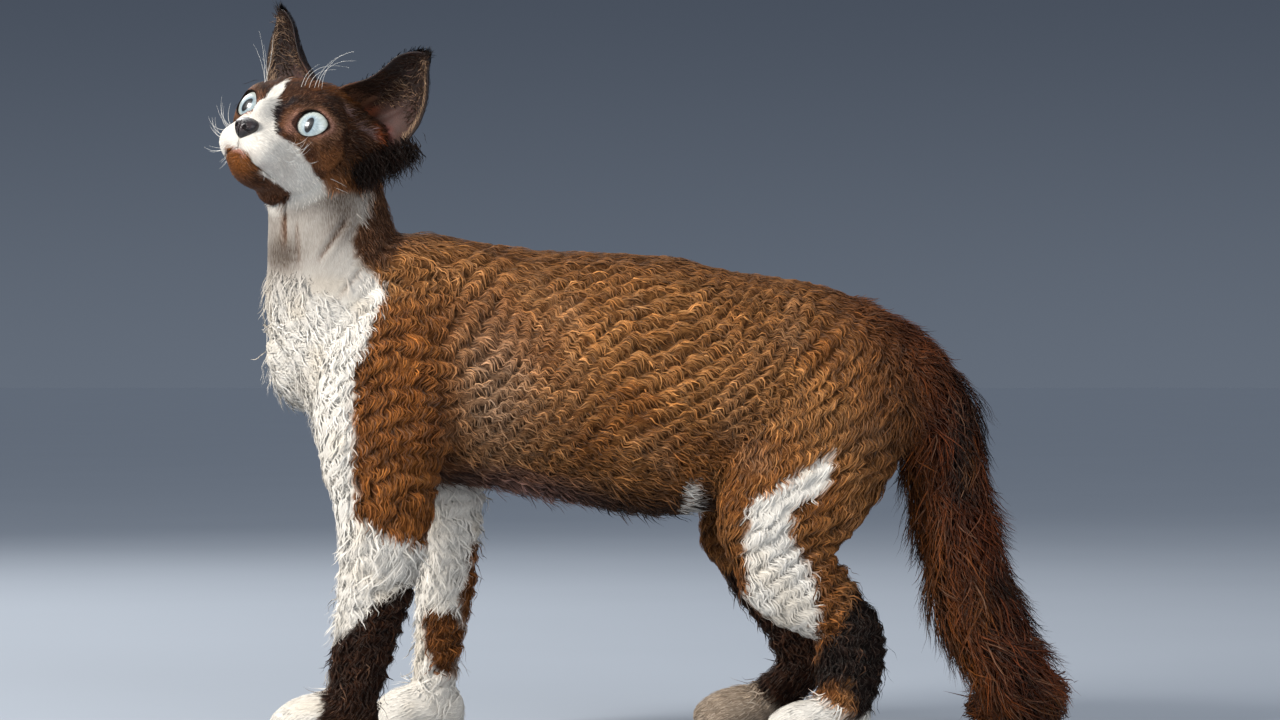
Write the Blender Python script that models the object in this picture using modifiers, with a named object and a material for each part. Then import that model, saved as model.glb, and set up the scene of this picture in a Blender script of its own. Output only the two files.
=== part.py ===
"""Life-size model of a standing Devon Rex cat with a wavy coat, parted where a person would name its parts.

The cat faces -X and turns its raised head towards -Y, its own left side. Z is up and the floor is z = 0.
Sizes are in millimetres until a mesh is made. A row of a limb is one cross-section on its middle line:
(x, y, z, half width across, half depth, depth of coat), with the half sizes taken to the tips of the coat.
"""

import math

import bmesh
import bpy
import numpy as np
from mathutils import Matrix, Vector

MM = 0.001  # metres in a millimetre
GAP = 0.3  # clearance between two nodes that touch
SEED = 7  # of every random draw

# Middle lines and sections of the body, from the head end to the far end, which also gives the coat's lie.
NECK = [
    (-188, 0, 325, 29, 30, 3),
    (-186, 0, 309, 31, 32, 3),
    (-183, 0, 289, 32, 34, 3),
    (-180, 0, 268, 34, 38, 4),
    (-174, 0, 240, 38, 45, 6),
    (-160, 0, 214, 40, 50, 8),
]
TORSO = [
    (-203, 0, 203, 22, 27, 8),
    (-194, 0, 206, 33, 43, 8),
    (-170, 0, 209, 41, 61, 8),
    (-143, 0, 211, 44, 69, 8),
    (-115, 0, 207, 46, 69, 8),
    (-77, 0, 202, 49, 69, 8),
    (-33, 0, 197, 52, 72, 8),
    (5, 0, 193, 51, 73, 7),
    (44, 0, 194, 49, 64, 7),
    (77, 0, 195, 46, 58, 7),
    (110, 0, 192, 41, 48, 7),
    (137, 0, 187, 33, 36, 8),
    (155, 0, 181, 24, 23, 9),
]
TAIL = [
    (140, 0, 193, 26, 23, 9),
    (148, 0, 182, 27, 27, 13),
    (154, 0, 163, 26, 28, 18),
    (159, 0, 130, 25, 26, 18),
    (167, 0, 97, 26, 27, 19),
    (174, 0, 70, 27, 29, 21),
    (188, 0, 43, 25, 26, 19),
    (203, 5, 24, 21, 22, 16),
    (210, 21, 17, 17, 17, 11),
    (206, 42, 14, 15, 14, 9),
    (193, 62, 12, 12, 12, 7),
    (180, 74, 10, 8, 9, 4),
]
FORE_LEFT = [
    (-128, -27, 246, 12, 25, 5),
    (-136, -31, 216, 17, 37, 6),
    (-148, -33, 186, 20, 42, 7),
    (-151, -34, 158, 21, 37, 7),
    (-150, -34, 131, 20, 30, 7),
    (-151, -34, 107, 19, 26, 7),
    (-156, -34, 77, 17, 21.5, 6),
    (-160.5, -34, 56, 15.5, 18.5, 5),
    (-165, -34, 34, 14, 16, 4),
    (-169, -34, 16, 14, 15, 4),
]
FORE_RIGHT = [
    (-128, 27, 246, 12, 25, 5),
    (-133, 31, 214, 17, 34, 6),
    (-129, 33, 184, 19, 33, 7),
    (-119, 33, 157, 20, 27, 7),
    (-118, 33, 130, 19, 22, 6),
    (-118, 33, 104, 18, 19, 6),
    (-120, 33, 79, 16, 18.5, 6),
    (-123, 33, 54, 14, 15, 5),
    (-125, 33, 34, 13, 13.5, 4),
    (-126, 33, 16, 14, 14, 4),
]
THIGH_LEFT = [
    (108, -18, 212, 15, 30, 7),
    (103, -23, 196, 22, 43, 7),
    (87, -27, 164, 24, 46, 7),
    (69, -30, 131, 22, 42, 7),
    (57, -32, 110, 19, 31, 7),
    (53, -33, 99, 15, 21, 7),
]
SHANK_LEFT = [
    (57, -33, 103, 16, 23, 7),
    (66, -33, 93, 17, 28, 7),
    (84, -33, 79, 16, 25, 7),
    (97, -33, 70, 14, 19, 6),
    (104, -33, 65, 12, 14, 5),
]
HOCK_LEFT = [
    (106, -33, 69, 12, 15, 5),
    (104, -33, 56, 13.5, 20, 6),
    (102, -33, 34, 14, 19, 5),
    (98, -34, 15, 14, 15, 4),
]
THIGH_RIGHT = [
    (108, 18, 212, 15, 30, 7),
    (101, 23, 194, 22, 43, 7),
    (85, 27, 161, 23, 44, 7),
    (64, 30, 131, 21, 43, 7),
    (52, 32, 108, 18, 34, 7),
    (50, 33, 96, 14, 25, 6),
]
SHANK_RIGHT = [
    (54, 33, 101, 15, 25, 6),
    (62, 33, 84, 15, 23, 6),
    (72, 33, 64, 13, 18, 6),
    (78, 33, 49, 12, 17, 6),
    (86, 33, 42, 11, 13, 5),
]
HOCK_RIGHT = [
    (88, 33, 44, 11, 12, 5),
    (74, 33, 29, 12.5, 14, 5),
    (58, 33, 18, 13.5, 13, 4),
]
PAW_FORE_LEFT = [
    (-159, -34, 12, 12, 13, 3),
    (-172, -34, 12, 15.5, 15.5, 3),
    (-188, -34.5, 12, 17.5, 15.5, 3),
    (-200, -35, 10, 15, 13, 3),
    (-207, -35, 8, 9, 9, 3),
]
PAW_FORE_RIGHT = [
    (-115, 33, 11, 12, 13, 3),
    (-127, 33, 12, 15, 15.5, 3),
    (-141, 33, 12, 17, 15, 3),
    (-150, 33, 10, 14.5, 12.5, 3),
    (-156, 33, 8, 9, 9, 3),
]
PAW_HIND_LEFT = [
    (107, -33, 11, 11, 12, 3),
    (97, -34, 12, 14, 15, 3),
    (84, -36, 11, 16, 14, 3),
    (72, -38, 10, 15.5, 12.5, 3),
    (63, -39, 8, 10, 9, 3),
]
PAW_HIND_RIGHT = [
    (58, 33, 13, 13, 13, 3),
    (46, 33, 12, 15, 15, 3),
    (34, 33.5, 10.5, 15.5, 13.5, 3),
    (24, 34, 8, 10, 9.5, 3),
]
LIMBS = {
    "neck": NECK,
    "torso": TORSO,
    "tail": TAIL,
    "fore_left": FORE_LEFT,
    "fore_right": FORE_RIGHT,
    "thigh_left": THIGH_LEFT,
    "shank_left": SHANK_LEFT,
    "hock_left": HOCK_LEFT,
    "thigh_right": THIGH_RIGHT,
    "shank_right": SHANK_RIGHT,
    "hock_right": HOCK_RIGHT,
    "paw_fore_left": PAW_FORE_LEFT,
    "paw_fore_right": PAW_FORE_RIGHT,
    "paw_hind_left": PAW_HIND_LEFT,
    "paw_hind_right": PAW_HIND_RIGHT,
}
ROW_REACH = 12  # how far a row of a limb counts as near along its middle line
CORE_SHARE = 0.5  # the solids' core reaches this share of the way from skin to tips
BODY_VOXEL, BODY_SMOOTHING = 2.2, 8
COAT_VOXEL, COAT_SMOOTHING = 1.9, 1
BODY_TRIANGLES = 5600
FLOOR_SIZE = (700, 400, 60)

# Spacing of the clumps on each limb, across the lie and along it.
CLUMPS = {
    "neck": (22, 16),
    "torso": (27, 19),
    "fore_left": (18, 15),
    "fore_right": (18, 15),
    "thigh_left": (23, 17),
    "shank_left": (18, 15),
    "hock_left": (16, 14),
    "thigh_right": (23, 17),
    "shank_right": (18, 15),
    "hock_right": (16, 14),
}
CANDIDATES = 16000  # places tried for a clump or lock
SIZE_RANGE = (0.9, 1.12)  # a clump or lock against the usual size of its kind
CLUMP_FLOOR = 20  # no clump starts lower than this
CLUMP_REACH, CLUMP_LIFT = 0.6, 1.25  # a clump's half size in spacings, its height in depths of outer coat
CLUMP_BOW, CLUMP_DIP = 0.5, 0.3  # how far its ends trail behind its middle, and how deep they sink
CLUMP_ROWS, CLUMP_SIDES = 7, 8
LOCK_ROWS, LOCK_SIDES = 5, 4
LOCK_ROOT, LOCK_START, LOCK_FLATNESS = 4, 0.1, 0.45  # depth of the root, its place, thickness against width
LOCK_ARCH = 0.6  # half turns of the bend that brings a lock's tip back towards the body
LIE_DROOP = (0, 0, -0.35)  # the coat of the sides sinks as it runs back
LEANS = {"tail": (0, 0, 0), "scruff": (2.5, 0, 0)}  # added to the lie of a form of lock
CHEST_FRONT, CHEST_LOW, CHEST_HIGH = -0.45, 150, 222  # the chest's locks face forwards, between two heights
SCRUFF_LOW, SCRUFF_BACK = 305, -0.2  # the scruff's locks grow from this height up and don't face forwards
LOCKS = {  # spacing across the lie and along it; a lock's length, half width and rise
    "tail": ((16, 18), (41, 11.5, 11)),
    "chest": ((17, 15), (26, 8, 5)),
    "scruff": ((11, 8), (15, 6, 18)),
}
TAIL_DEPTH = 19  # depth of coat that the tail's locks are sized for

# Where the body is parted: a line from the side (x, z to x, z) and its reach from right to left (y).
CUTS = [
    ((-236, 196), (-130, 302), (-70, 70)),
    ((122, 142), (185, 202), (-60, 60)),
    ((120, 104), (215, 104), (-60, 60)),
    ((160, 40), (240, 40), (-60, 60)),
    ((-200, 133), (-105, 133), (-70, -4)),
    ((-160, 133), (-85, 133), (4, 70)),
    ((-190, 82), (-125, 82), (-70, 0)),
    ((-150, 82), (-90, 82), (0, 70)),
    ((-195, 27), (-140, 27), (-70, 0)),
    ((-150, 27), (-100, 27), (0, 70)),
    ((-10, 119.8), (147, 161.8), (-75, 75)),
    ((25, 75), (126, 99), (-70, 0)),
    ((22, 72), (118, 95), (0, 70)),
    ((80, 27), (125, 27), (-70, 0)),
    ((73, -5), (40, 33.5), (0, 70)),
]
SPLITTER_PLACE, SPLITTER_SIZE = (60, 0, 90), (200, GAP, 140)  # the upright cut between the thighs
SEEDS = {
    "neck": (-180, 0, 265),
    "torso": (-20, 0, 195),
    "tail_base": (158, 0, 145),
    "tail_middle": (175, 0, 72),
    "tail_tip": (200, 35, 20),
    "foreleg_left_upper": (-152, -34, 108),
    "foreleg_left_lower": (-161, -34, 55),
    "forepaw_left": (-183, -34, 13),
    "foreleg_right_upper": (-119, 33, 108),
    "foreleg_right_lower": (-123, 33, 55),
    "forepaw_right": (-133, 33, 13),
    "thigh_left": (75, -28, 130),
    "shank_left": (88, -33, 65),
    "hindpaw_left": (85, -35, 12),
    "thigh_right": (70, 28, 125),
    "shank_right": (75, 33, 60),
    "hindpaw_right": (42, 33, 10),
}

# The head's own frame: x to the nose, y to the cat's left, z to the crown, from the midpoint of the eyeballs.
HEAD_PLACE = (-203, -22, 337.5)
HEAD_YAW, HEAD_PITCH, HEAD_ROLL = 57, 15, 16
SKULL = [  # centre and radii of the head's masses; one off the middle plane has its mirror image
    ((-25, 0, 5), (33, 29, 24)),
    ((-5, 0, 10), (15, 24, 12)),
    ((-3, 20, 8), (10, 13, 9)),
    ((11, 0, -1), (17, 7, 10)),
    ((17, 0, -18), (14, 13, 10)),
    ((20, 11, -21), (10, 9, 8)),
    ((17, 0, -32), (10, 10, 6.5)),
    ((-3, 12, -29), (20, 10, 8)),
    ((-6, 23, -9), (14, 13, 12)),
    ((-36, 27, 6), (13, 13, 13)),
    ((8, 13, -12), (12, 8, 10)),
    ((3, 10, 5), (8, 7, 8)),
    ((-24, 0, -18), (27, 24, 16)),
    ((-13, 16, -23), (15, 11, 11)),
    ((-44, 0, -2), (18, 24, 22)),
]
SKULL_BLEND = 3.2
SKULL_CENTRE, SKULL_SUBDIVISIONS, SKULL_REACH = (-8, 0, -6), 5, 80  # of the ball drawn in to the skull
SKULL_STEPS, SKULL_STRIDE = 60, 0.7
HEAD_TRIANGLES = 3000
HEAD_CLEARANCE, HEAD_CLEARANCE_TRIANGLES = 0.5, 1700  # of what the neck and ears are cut clear by
EYE_PLACE, EYE_RADIUS = (-1.5, 21.5, 0), 12
EYE_TURN, EYE_LIFT = 17, 1  # the lids open outwards and upwards by these many degrees
EYE_GAP, EYE_SEGMENTS = 0.6, 16
LID_RADIUS, LID_SLANT = 13.7, 12
LID_CUTTER, LID_CUTTER_AHEAD = (7.5, 9.2, 7.8), 11  # radii of what cuts the opening, and its place
NOSE_GAP = 0.35
NOSE_PLACE, NOSE_RADII, NOSE_WEDGE = (30, 0, -13), (5, 6.5, 5.5), 0.35  # its top is wider by this share
NOSTRIL_PLACE, NOSTRIL_RADII = (35, 3.1, -14), (2.4, 1.3, 1.6)
PHILTRUM = [(33, 0, -17), (32, 0, -21), (31, 0, -26)]
MOUTH = [(31, 0, -26), (29.5, 5, -28.5), (25, 11, -31), (19, 15, -33.5), (12, 18, -36)]
GROOVE, GROOVE_SIDES = 0.9, 6
EAR_BASE, EAR_TIP, EAR_ACROSS = (-27, 29.5, 18), (-22.6, 55.6, 60), (20, -32, 22.5)
EAR_SHAPE = [  # share of the height, reach to the crown, reach to the cheek, depth of the cup
    (-0.3, 22, 14, 17),
    (0.0, 23, 20.5, 17),
    (0.3, 14.5, 21, 13),
    (0.53, 12, 18, 9.5),
    (0.72, 11.5, 13, 6.5),
    (0.86, 8.8, 7.5, 4),
    (0.96, 4.6, 3.4, 1.5),
    (1.0, 1.2, 1.2, 0.6),
]
EAR_THICKNESS, EAR_COLUMNS = 1.4, 9

SHARP_EDGE = 65  # degrees
COLOURS = {  # colour and roughness of each node, by the start of its name
    "head": ((0.20, 0.11, 0.06), 0.8),
    "nose": ((0.05, 0.03, 0.025), 0.4),
    "eye": ((0.62, 0.78, 0.80), 0.1),
    "ear": ((0.12, 0.07, 0.05), 0.8),
    "neck": ((0.72, 0.68, 0.62), 0.85),
    "torso": ((0.36, 0.20, 0.10), 0.85),
    "tail": ((0.11, 0.055, 0.03), 0.85),
    "foreleg": ((0.66, 0.60, 0.52), 0.85),
    "forepaw": ((0.80, 0.77, 0.72), 0.85),
    "thigh": ((0.40, 0.24, 0.13), 0.85),
    "shank": ((0.13, 0.07, 0.04), 0.85),
    "hindpaw": ((0.45, 0.38, 0.30), 0.85),
}


# ---------------------------------------------------------------- meshes


def head_matrix():
    """The head's frame in the world, in millimetres."""
    yaw, pitch, roll = (math.radians(a) for a in (HEAD_YAW, HEAD_PITCH, HEAD_ROLL))
    ahead = Vector((-math.cos(yaw) * math.cos(pitch), -math.sin(yaw) * math.cos(pitch), math.sin(pitch)))
    level = Vector((0, 0, 1)).cross(ahead).normalized()
    upright = ahead.cross(level)
    left = level * math.cos(roll) - upright * math.sin(roll)
    up = ahead.cross(left)
    matrix = Matrix((ahead, left, up)).transposed().to_4x4()
    matrix.translation = Vector(HEAD_PLACE)
    return matrix


def new_object(name, points, faces):
    """An object in the scene from points in millimetres."""
    mesh = bpy.data.meshes.new(name)
    mesh.from_pydata([tuple(c * MM for c in p) for p in points], [], faces)
    mesh.validate()
    obj = bpy.data.objects.new(name, mesh)
    bpy.context.scene.collection.objects.link(obj)
    return obj


def apply_modifiers(obj):
    """Replaces the object's mesh by its evaluated one."""
    graph = bpy.context.evaluated_depsgraph_get()
    mesh = bpy.data.meshes.new_from_object(obj.evaluated_get(graph))
    obj.modifiers.clear()
    obj.data = mesh


def smooth_rows(rows, steps):
    """Catmull-Rom rows through the given ones, steps to a span."""
    rows = np.array(rows, float)
    padded = np.vstack([2 * rows[0] - rows[1], rows, 2 * rows[-1] - rows[-2]])
    found = []
    for i in range(1, len(padded) - 2):
        a, b, c, d = padded[i - 1 : i + 3]
        for t in np.arange(steps) / steps:
            square, cube = (2 * a - 5 * b + 4 * c - d) * t**2, (3 * b - a - 3 * c + d) * t**3
            found.append(0.5 * (2 * b + (c - a) * t + square + cube))
    found.append(rows[-1])
    return np.array(found)


def ring_frames(rows):
    """Tangent, across and deep directions at each row of a middle line."""
    tangents = np.gradient(rows[:, :3], axis=0)
    tangents /= np.linalg.norm(tangents, axis=1)[:, None]
    across = np.array([0.0, 1.0, 0.0]) - tangents[:, 1:2] * tangents
    across /= np.linalg.norm(across, axis=1)[:, None]
    return tangents, across, np.cross(tangents, across)


def loft(name, rows, share, sides=20, steps=4, cap_rings=3):
    """A closed tube through the rows, with round ends. share 0 gives the skin and 1 the tips of the coat."""
    rows = smooth_rows(rows, steps)
    tangents, across, deep = ring_frames(rows)
    sizes = rows[:, 3:5] - rows[:, 5:6] * (1 - share)
    ends = []
    for i, way in ((0, -1), (-1, 1)):
        reach = sizes[i].min() * 0.6
        angles = [math.pi / 2 * (k + 1) / (cap_rings + 1) for k in range(cap_rings)]
        ends.append([(i, way * reach * math.sin(a), math.cos(a)) for a in angles])
    plan = ends[0][::-1] + [(i, 0, 1) for i in range(len(rows))] + ends[1]
    points = []
    for i, shift, scale in plan:
        centre = rows[i, :3] + tangents[i] * shift
        for k in range(sides):
            turn = 2 * math.pi * k / sides
            wide, high = math.cos(turn) * sizes[i, 0] * scale, math.sin(turn) * sizes[i, 1] * scale
            points.append(centre + across[i] * wide + deep[i] * high)
    faces = []
    for i in range(len(plan) - 1):
        for k in range(sides):
            a, b = i * sides + k, i * sides + (k + 1) % sides
            faces.append((a, b, b + sides, a + sides))
    faces.append(tuple(range(sides))[::-1])
    faces.append(tuple(range(len(points) - sides, len(points))))
    return new_object(name, points, faces)


def ellipsoid(name, centre, radii, segments=24):
    """A ball stretched to three radii."""
    mesh = bpy.data.meshes.new(name)
    shape = bmesh.new()
    bmesh.ops.create_uvsphere(shape, u_segments=segments, v_segments=segments // 2, radius=1)
    bmesh.ops.scale(shape, vec=Vector(radii) * MM, verts=shape.verts)
    bmesh.ops.translate(shape, vec=Vector(centre) * MM, verts=shape.verts)
    shape.to_mesh(mesh)
    shape.free()
    obj = bpy.data.objects.new(name, mesh)
    bpy.context.scene.collection.objects.link(obj)
    return obj


def melt(name, pieces, voxel, smoothing):
    """Overlapping closed pieces melted into one skin by a voxel remesh and some smoothing."""
    body = pieces[0]
    body.name = name
    if len(pieces) > 1:
        with bpy.context.temp_override(active_object=body, selected_editable_objects=pieces):
            bpy.ops.object.join()
    remesh = body.modifiers.new("remesh", "REMESH")
    remesh.mode = "VOXEL"
    remesh.voxel_size = voxel * MM
    smooth = body.modifiers.new("smooth", "SMOOTH")
    smooth.factor = 0.5
    smooth.iterations = smoothing
    apply_modifiers(body)
    return body


def thin_out(obj, triangles):
    """Collapses the mesh to about this many triangles."""
    obj.data.calc_loop_triangles()
    decimate = obj.modifiers.new("decimate", "DECIMATE")
    decimate.ratio = min(1.0, triangles / len(obj.data.loop_triangles))
    decimate.use_collapse_triangulate = True
    apply_modifiers(obj)


def vertex_arrays(obj):
    """The mesh's points and normals, in millimetres."""
    count = len(obj.data.vertices)
    points, normals = np.empty(count * 3), np.empty(count * 3)
    obj.data.vertices.foreach_get("co", points)
    obj.data.vertex_normals.foreach_get("vector", normals)
    return points.reshape(-1, 3) / MM, normals.reshape(-1, 3)


def set_points(obj, points):
    """Moves the mesh's vertices to these points, given in millimetres."""
    obj.data.vertices.foreach_set("co", (points * MM).ravel())
    obj.data.update()


def boolean(obj, other, operation, solver="MANIFOLD"):
    """Applies one Boolean with another object, which is then removed."""
    modifier = obj.modifiers.new(operation.lower(), "BOOLEAN")
    modifier.operation = operation
    modifier.object = other
    modifier.solver = solver
    apply_modifiers(obj)
    bpy.data.objects.remove(other)


def keep_largest(obj):
    """Drops all but the mesh's largest closed surface."""
    shape = bmesh.new()
    shape.from_mesh(obj.data)
    left, groups = set(shape.verts), []
    while left:
        group, edge_of = set(), [left.pop()]
        while edge_of:
            vert = edge_of.pop()
            group.add(vert)
            for edge in vert.link_edges:
                near = edge.other_vert(vert)
                if near in left:
                    left.remove(near)
                    edge_of.append(near)
        groups.append(group)
    groups.sort(key=lambda g: -sum(f.calc_area() for f in {f for v in g for f in v.link_faces}))
    bmesh.ops.delete(shape, geom=[v for g in groups[1:] for v in g], context="VERTS")
    shape.to_mesh(obj.data)
    shape.free()


# ---------------------------------------------------------------- head


def mirrored(centre):
    """The place itself and, off the middle plane, its mirror image."""
    x, y, z = centre
    return [(x, y, z), (x, -y, z)] if y else [(x, y, z)]


def skull_field(points):
    """How far each point lies outside the smoothly blended masses of the head."""
    total = np.zeros(len(points))
    for centre, radii in SKULL + [(EYE_PLACE, (LID_RADIUS,) * 3)]:
        for place in mirrored(centre):
            scaled = (points - place) / radii
            reach = np.linalg.norm(scaled, axis=1)
            slope = np.linalg.norm(scaled / radii, axis=1)
            total += np.exp(-reach * (reach - 1) / slope / SKULL_BLEND)
    return -SKULL_BLEND * np.log(total)


def skull_skin(name, extra=0.0):
    """A ball drawn in along its radii to the skin of the blended masses, grown by extra."""
    mesh = bpy.data.meshes.new(name)
    shape = bmesh.new()
    bmesh.ops.create_icosphere(shape, subdivisions=SKULL_SUBDIVISIONS, radius=1)
    shape.to_mesh(mesh)
    shape.free()
    skin = bpy.data.objects.new(name, mesh)
    bpy.context.scene.collection.objects.link(skin)
    rays = vertex_arrays(skin)[0] * MM
    far = np.full(len(rays), float(SKULL_REACH))
    for _ in range(SKULL_STEPS):
        far -= SKULL_STRIDE * (skull_field(SKULL_CENTRE + rays * far[:, None]) - extra)
    set_points(skin, SKULL_CENTRE + rays * far[:, None])
    return skin


def place_in_head(obj):
    """Carries a mesh from the head's frame to its place on the cat."""
    matrix = head_matrix()
    matrix.translation *= MM
    obj.data.transform(matrix)


def gaze(side):
    """The eye's centre, and the frame of its lids with x straight out of their opening."""
    centre = Vector((EYE_PLACE[0], EYE_PLACE[1] * side, EYE_PLACE[2]))
    aside, lift = math.radians(EYE_TURN * side), math.radians(-EYE_LIFT)
    turn = Matrix.Rotation(aside, 3, "Z") @ Matrix.Rotation(lift, 3, "Y")
    return centre, turn @ Matrix.Rotation(math.radians(-LID_SLANT * side), 3, "X")


def lid_cutters(side):
    """The eyeball's room and the opening between the lids."""
    centre, turn = gaze(side)
    room = ellipsoid("room", centre, (EYE_RADIUS + EYE_GAP,) * 3)
    opening = ellipsoid("opening", (0, 0, 0), LID_CUTTER)
    opening.data.transform(turn.to_4x4())
    opening.data.transform(Matrix.Translation((centre + turn @ Vector((LID_CUTTER_AHEAD, 0, 0))) * MM))
    return [room, opening]


def groove(path, surface):
    """A thin round cutter that follows a path along the surface."""
    rows = []
    for point in path:
        place = surface.closest_point_on_mesh(Vector(point) * MM)[1]
        rows.append((*(place / MM), GROOVE, GROOVE, 0))
    return loft("groove", rows, 1, sides=GROOVE_SIDES, steps=2, cap_rings=1)


def build_head():
    """The skull with lids, the rooms of the eyes, the nose's seat, philtrum and the line of the mouth."""
    head = skull_skin("head")
    cutters = [cutter for side in (1, -1) for cutter in lid_cutters(side)]
    cutters.append(nose_shape("seat", NOSE_GAP))
    left = groove(MOUTH, head)
    right = groove([(x, -y, z) for x, y, z in MOUTH], head)
    for cutter in [*cutters, groove(PHILTRUM, head), left, right]:
        boolean(head, cutter, "DIFFERENCE")
    keep_largest(head)
    thin_out(head, HEAD_TRIANGLES)
    place_in_head(head)


def nose_shape(name, extra=0.0):
    """The leather of the nose: wide above, narrow below."""
    nose = ellipsoid(name, (0, 0, 0), [r + extra for r in NOSE_RADII], 14)
    points = vertex_arrays(nose)[0]
    points[:, 1] *= 1 + NOSE_WEDGE * points[:, 2] / NOSE_RADII[2]
    set_points(nose, points + np.array(NOSE_PLACE))
    return nose


def build_nose():
    """The nose with its nostrils."""
    nose = nose_shape("nose")
    for place in mirrored(NOSTRIL_PLACE):
        boolean(nose, ellipsoid("nostril", place, NOSTRIL_RADII, 10), "DIFFERENCE")
    place_in_head(nose)


def build_eye(name, side):
    """One eyeball."""
    place_in_head(ellipsoid(name, gaze(side)[0], (EYE_RADIUS,) * 3, EYE_SEGMENTS))


def build_ear(name, side):
    """One ear as a thin cup, cut off where it meets the head."""
    base, tip = np.array(EAR_BASE), np.array(EAR_TIP)
    height = np.linalg.norm(tip - base)
    axis = (tip - base) / height
    across = np.array(EAR_ACROSS) - np.dot(EAR_ACROSS, axis) * axis
    across /= np.linalg.norm(across)
    behind = np.cross(across, axis)
    rows = smooth_rows(EAR_SHAPE, 2)
    columns = np.linspace(-1, 1, EAR_COLUMNS)
    points = []
    for share, inner, outer, depth in rows:
        for u in columns:
            shift = inner * (1 + u) / 2 - outer * (1 - u) / 2
            point = base + axis * share * height + across * shift + behind * depth * (1 - u * u)
            points.append(point * (1, side, 1))
    faces = []
    for i in range(len(rows) - 1):
        for a in range(i * EAR_COLUMNS, (i + 1) * EAR_COLUMNS - 1):
            b = a + 1
            faces += [(a, b, b + EAR_COLUMNS), (a, b + EAR_COLUMNS, a + EAR_COLUMNS)]
    ear = new_object(name, points, faces)
    shell = ear.modifiers.new("shell", "SOLIDIFY")
    shell.thickness = EAR_THICKNESS * MM
    shell.offset = 0
    shell.use_even_offset = True
    apply_modifiers(ear)
    outward(ear)
    place_in_head(ear)
    boolean(ear, head_room(), "DIFFERENCE")
    keep_largest(ear)


def outward(obj):
    """Turns the faces of a closed mesh outwards."""
    shape = bmesh.new()
    shape.from_mesh(obj.data)
    bmesh.ops.recalc_face_normals(shape, faces=shape.faces)
    shape.to_mesh(obj.data)
    shape.free()


def head_room():
    """The head grown a little, which its neighbours are cut clear by."""
    room = skull_skin("room", HEAD_CLEARANCE)
    thin_out(room, HEAD_CLEARANCE_TRIANGLES)
    place_in_head(room)
    return room


# ---------------------------------------------------------------- coat


class Coat:
    """The nearest limb to any point: its index, its lie, its centre line and its depth of coat."""

    def __init__(self):
        rows = [smooth_rows(limb, 4) for limb in LIMBS.values()]
        self.limb = np.concatenate([np.full(len(r), i) for i, r in enumerate(rows)])
        self.frames = [np.concatenate(part) for part in zip(*(ring_frames(r) for r in rows))]
        self.rows = np.concatenate(rows)

    def nearest(self, points):
        """Index of the nearest row of any limb, measured in that row's own half sizes."""
        best, found = np.full(len(points), np.inf), np.zeros(len(points), int)
        for i, row in enumerate(self.rows):
            offset = points - row[:3]
            along, wide, deep = (offset @ frame[i] for frame in self.frames)
            reach = np.sqrt((wide / row[3]) ** 2 + (deep / row[4]) ** 2 + (along / ROW_REACH) ** 2)
            closer = reach < best
            best[closer], found[closer] = reach[closer], i
        return found


def scatter(body, count, draw):
    """Random places on the skin and the outward normals there, evenly by area, in millimetres."""
    body.data.calc_loop_triangles()
    corners = np.empty(len(body.data.loop_triangles) * 3, int)
    body.data.loop_triangles.foreach_get("vertices", corners)
    points, normals = vertex_arrays(body)
    corners = corners.reshape(-1, 3)
    a, b, c = (points[corners[:, k]] for k in range(3))
    area = np.linalg.norm(np.cross(b - a, c - a), axis=1)
    chosen = draw.choice(len(area), count, p=area / area.sum())
    u, v = draw.random(count), draw.random(count)
    flip = u + v > 1
    u[flip], v[flip] = 1 - u[flip], 1 - v[flip]
    share = np.stack([1 - u - v, u, v], 1)
    places = sum(share[:, k : k + 1] * points[corners[chosen, k]] for k in range(3))
    turned = sum(share[:, k : k + 1] * normals[corners[chosen, k]] for k in range(3))
    return places, turned / np.linalg.norm(turned, axis=1)[:, None]


def tuft(path, across, normal, wides, highs, sides):
    """A closed, flat strand along a path, drawn to a point at both ends."""
    points, faces = [path[0]], []
    for i in range(1, len(path) - 1):
        for k in range(sides):
            turn = 2 * math.pi * (k + 0.5) / sides
            points.append(path[i] + across * wides[i] * math.cos(turn) + normal * highs[i] * math.sin(turn))
    points.append(path[-1])
    last = len(points) - 1
    for k in range(sides):
        after = (k + 1) % sides
        faces.append((0, 1 + after, 1 + k))
        for i in range(len(path) - 3):
            a, b = 1 + i * sides + k, 1 + i * sides + after
            faces.append((a, b, b + sides, a + sides))
        faces.append((last - sides + k, last - sides + after, last))
    tube = new_object("tuft", points, faces)
    outward(tube)
    return tube


def clump(place, normal, lie, wide, long, high):
    """A rounded crescent of curls that lies across the coat, its back towards the tail."""
    across = np.cross(normal, lie)
    path, wides, highs = [], [], []
    for t in np.linspace(-1, 1, CLUMP_ROWS):
        swell = (1 - t * t) ** 0.4
        trail = lie * long * CLUMP_BOW * (1 - 2 * t * t) - normal * high * CLUMP_DIP * t * t
        path.append(place + across * wide * t + trail)
        wides.append(long * swell)
        highs.append(high * swell)
    return tuft(path, lie, normal, wides, highs, CLUMP_SIDES)


def lock(place, normal, lie, size, form):
    """A flat, tapered lock, rooted deep, that leaves the skin and bends back along the lie."""
    long, wide, rise = (size * value for value in form)
    across = np.cross(normal, lie)
    path, wides, highs = [], [], []
    for t in np.linspace(0, 1, LOCK_ROWS):
        lift = rise * math.sin(math.pi * LOCK_ARCH * t) - LOCK_ROOT * (1 - t)
        path.append(place + lie * long * (t - LOCK_START) + normal * lift)
        wides.append(wide * min(1, 0.75 + t) * (1 - t) ** 0.45)
        highs.append(wide * LOCK_FLATNESS * (1 - t) ** 0.4)
    return tuft(path, across, normal, wides, highs, LOCK_SIDES)


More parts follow.
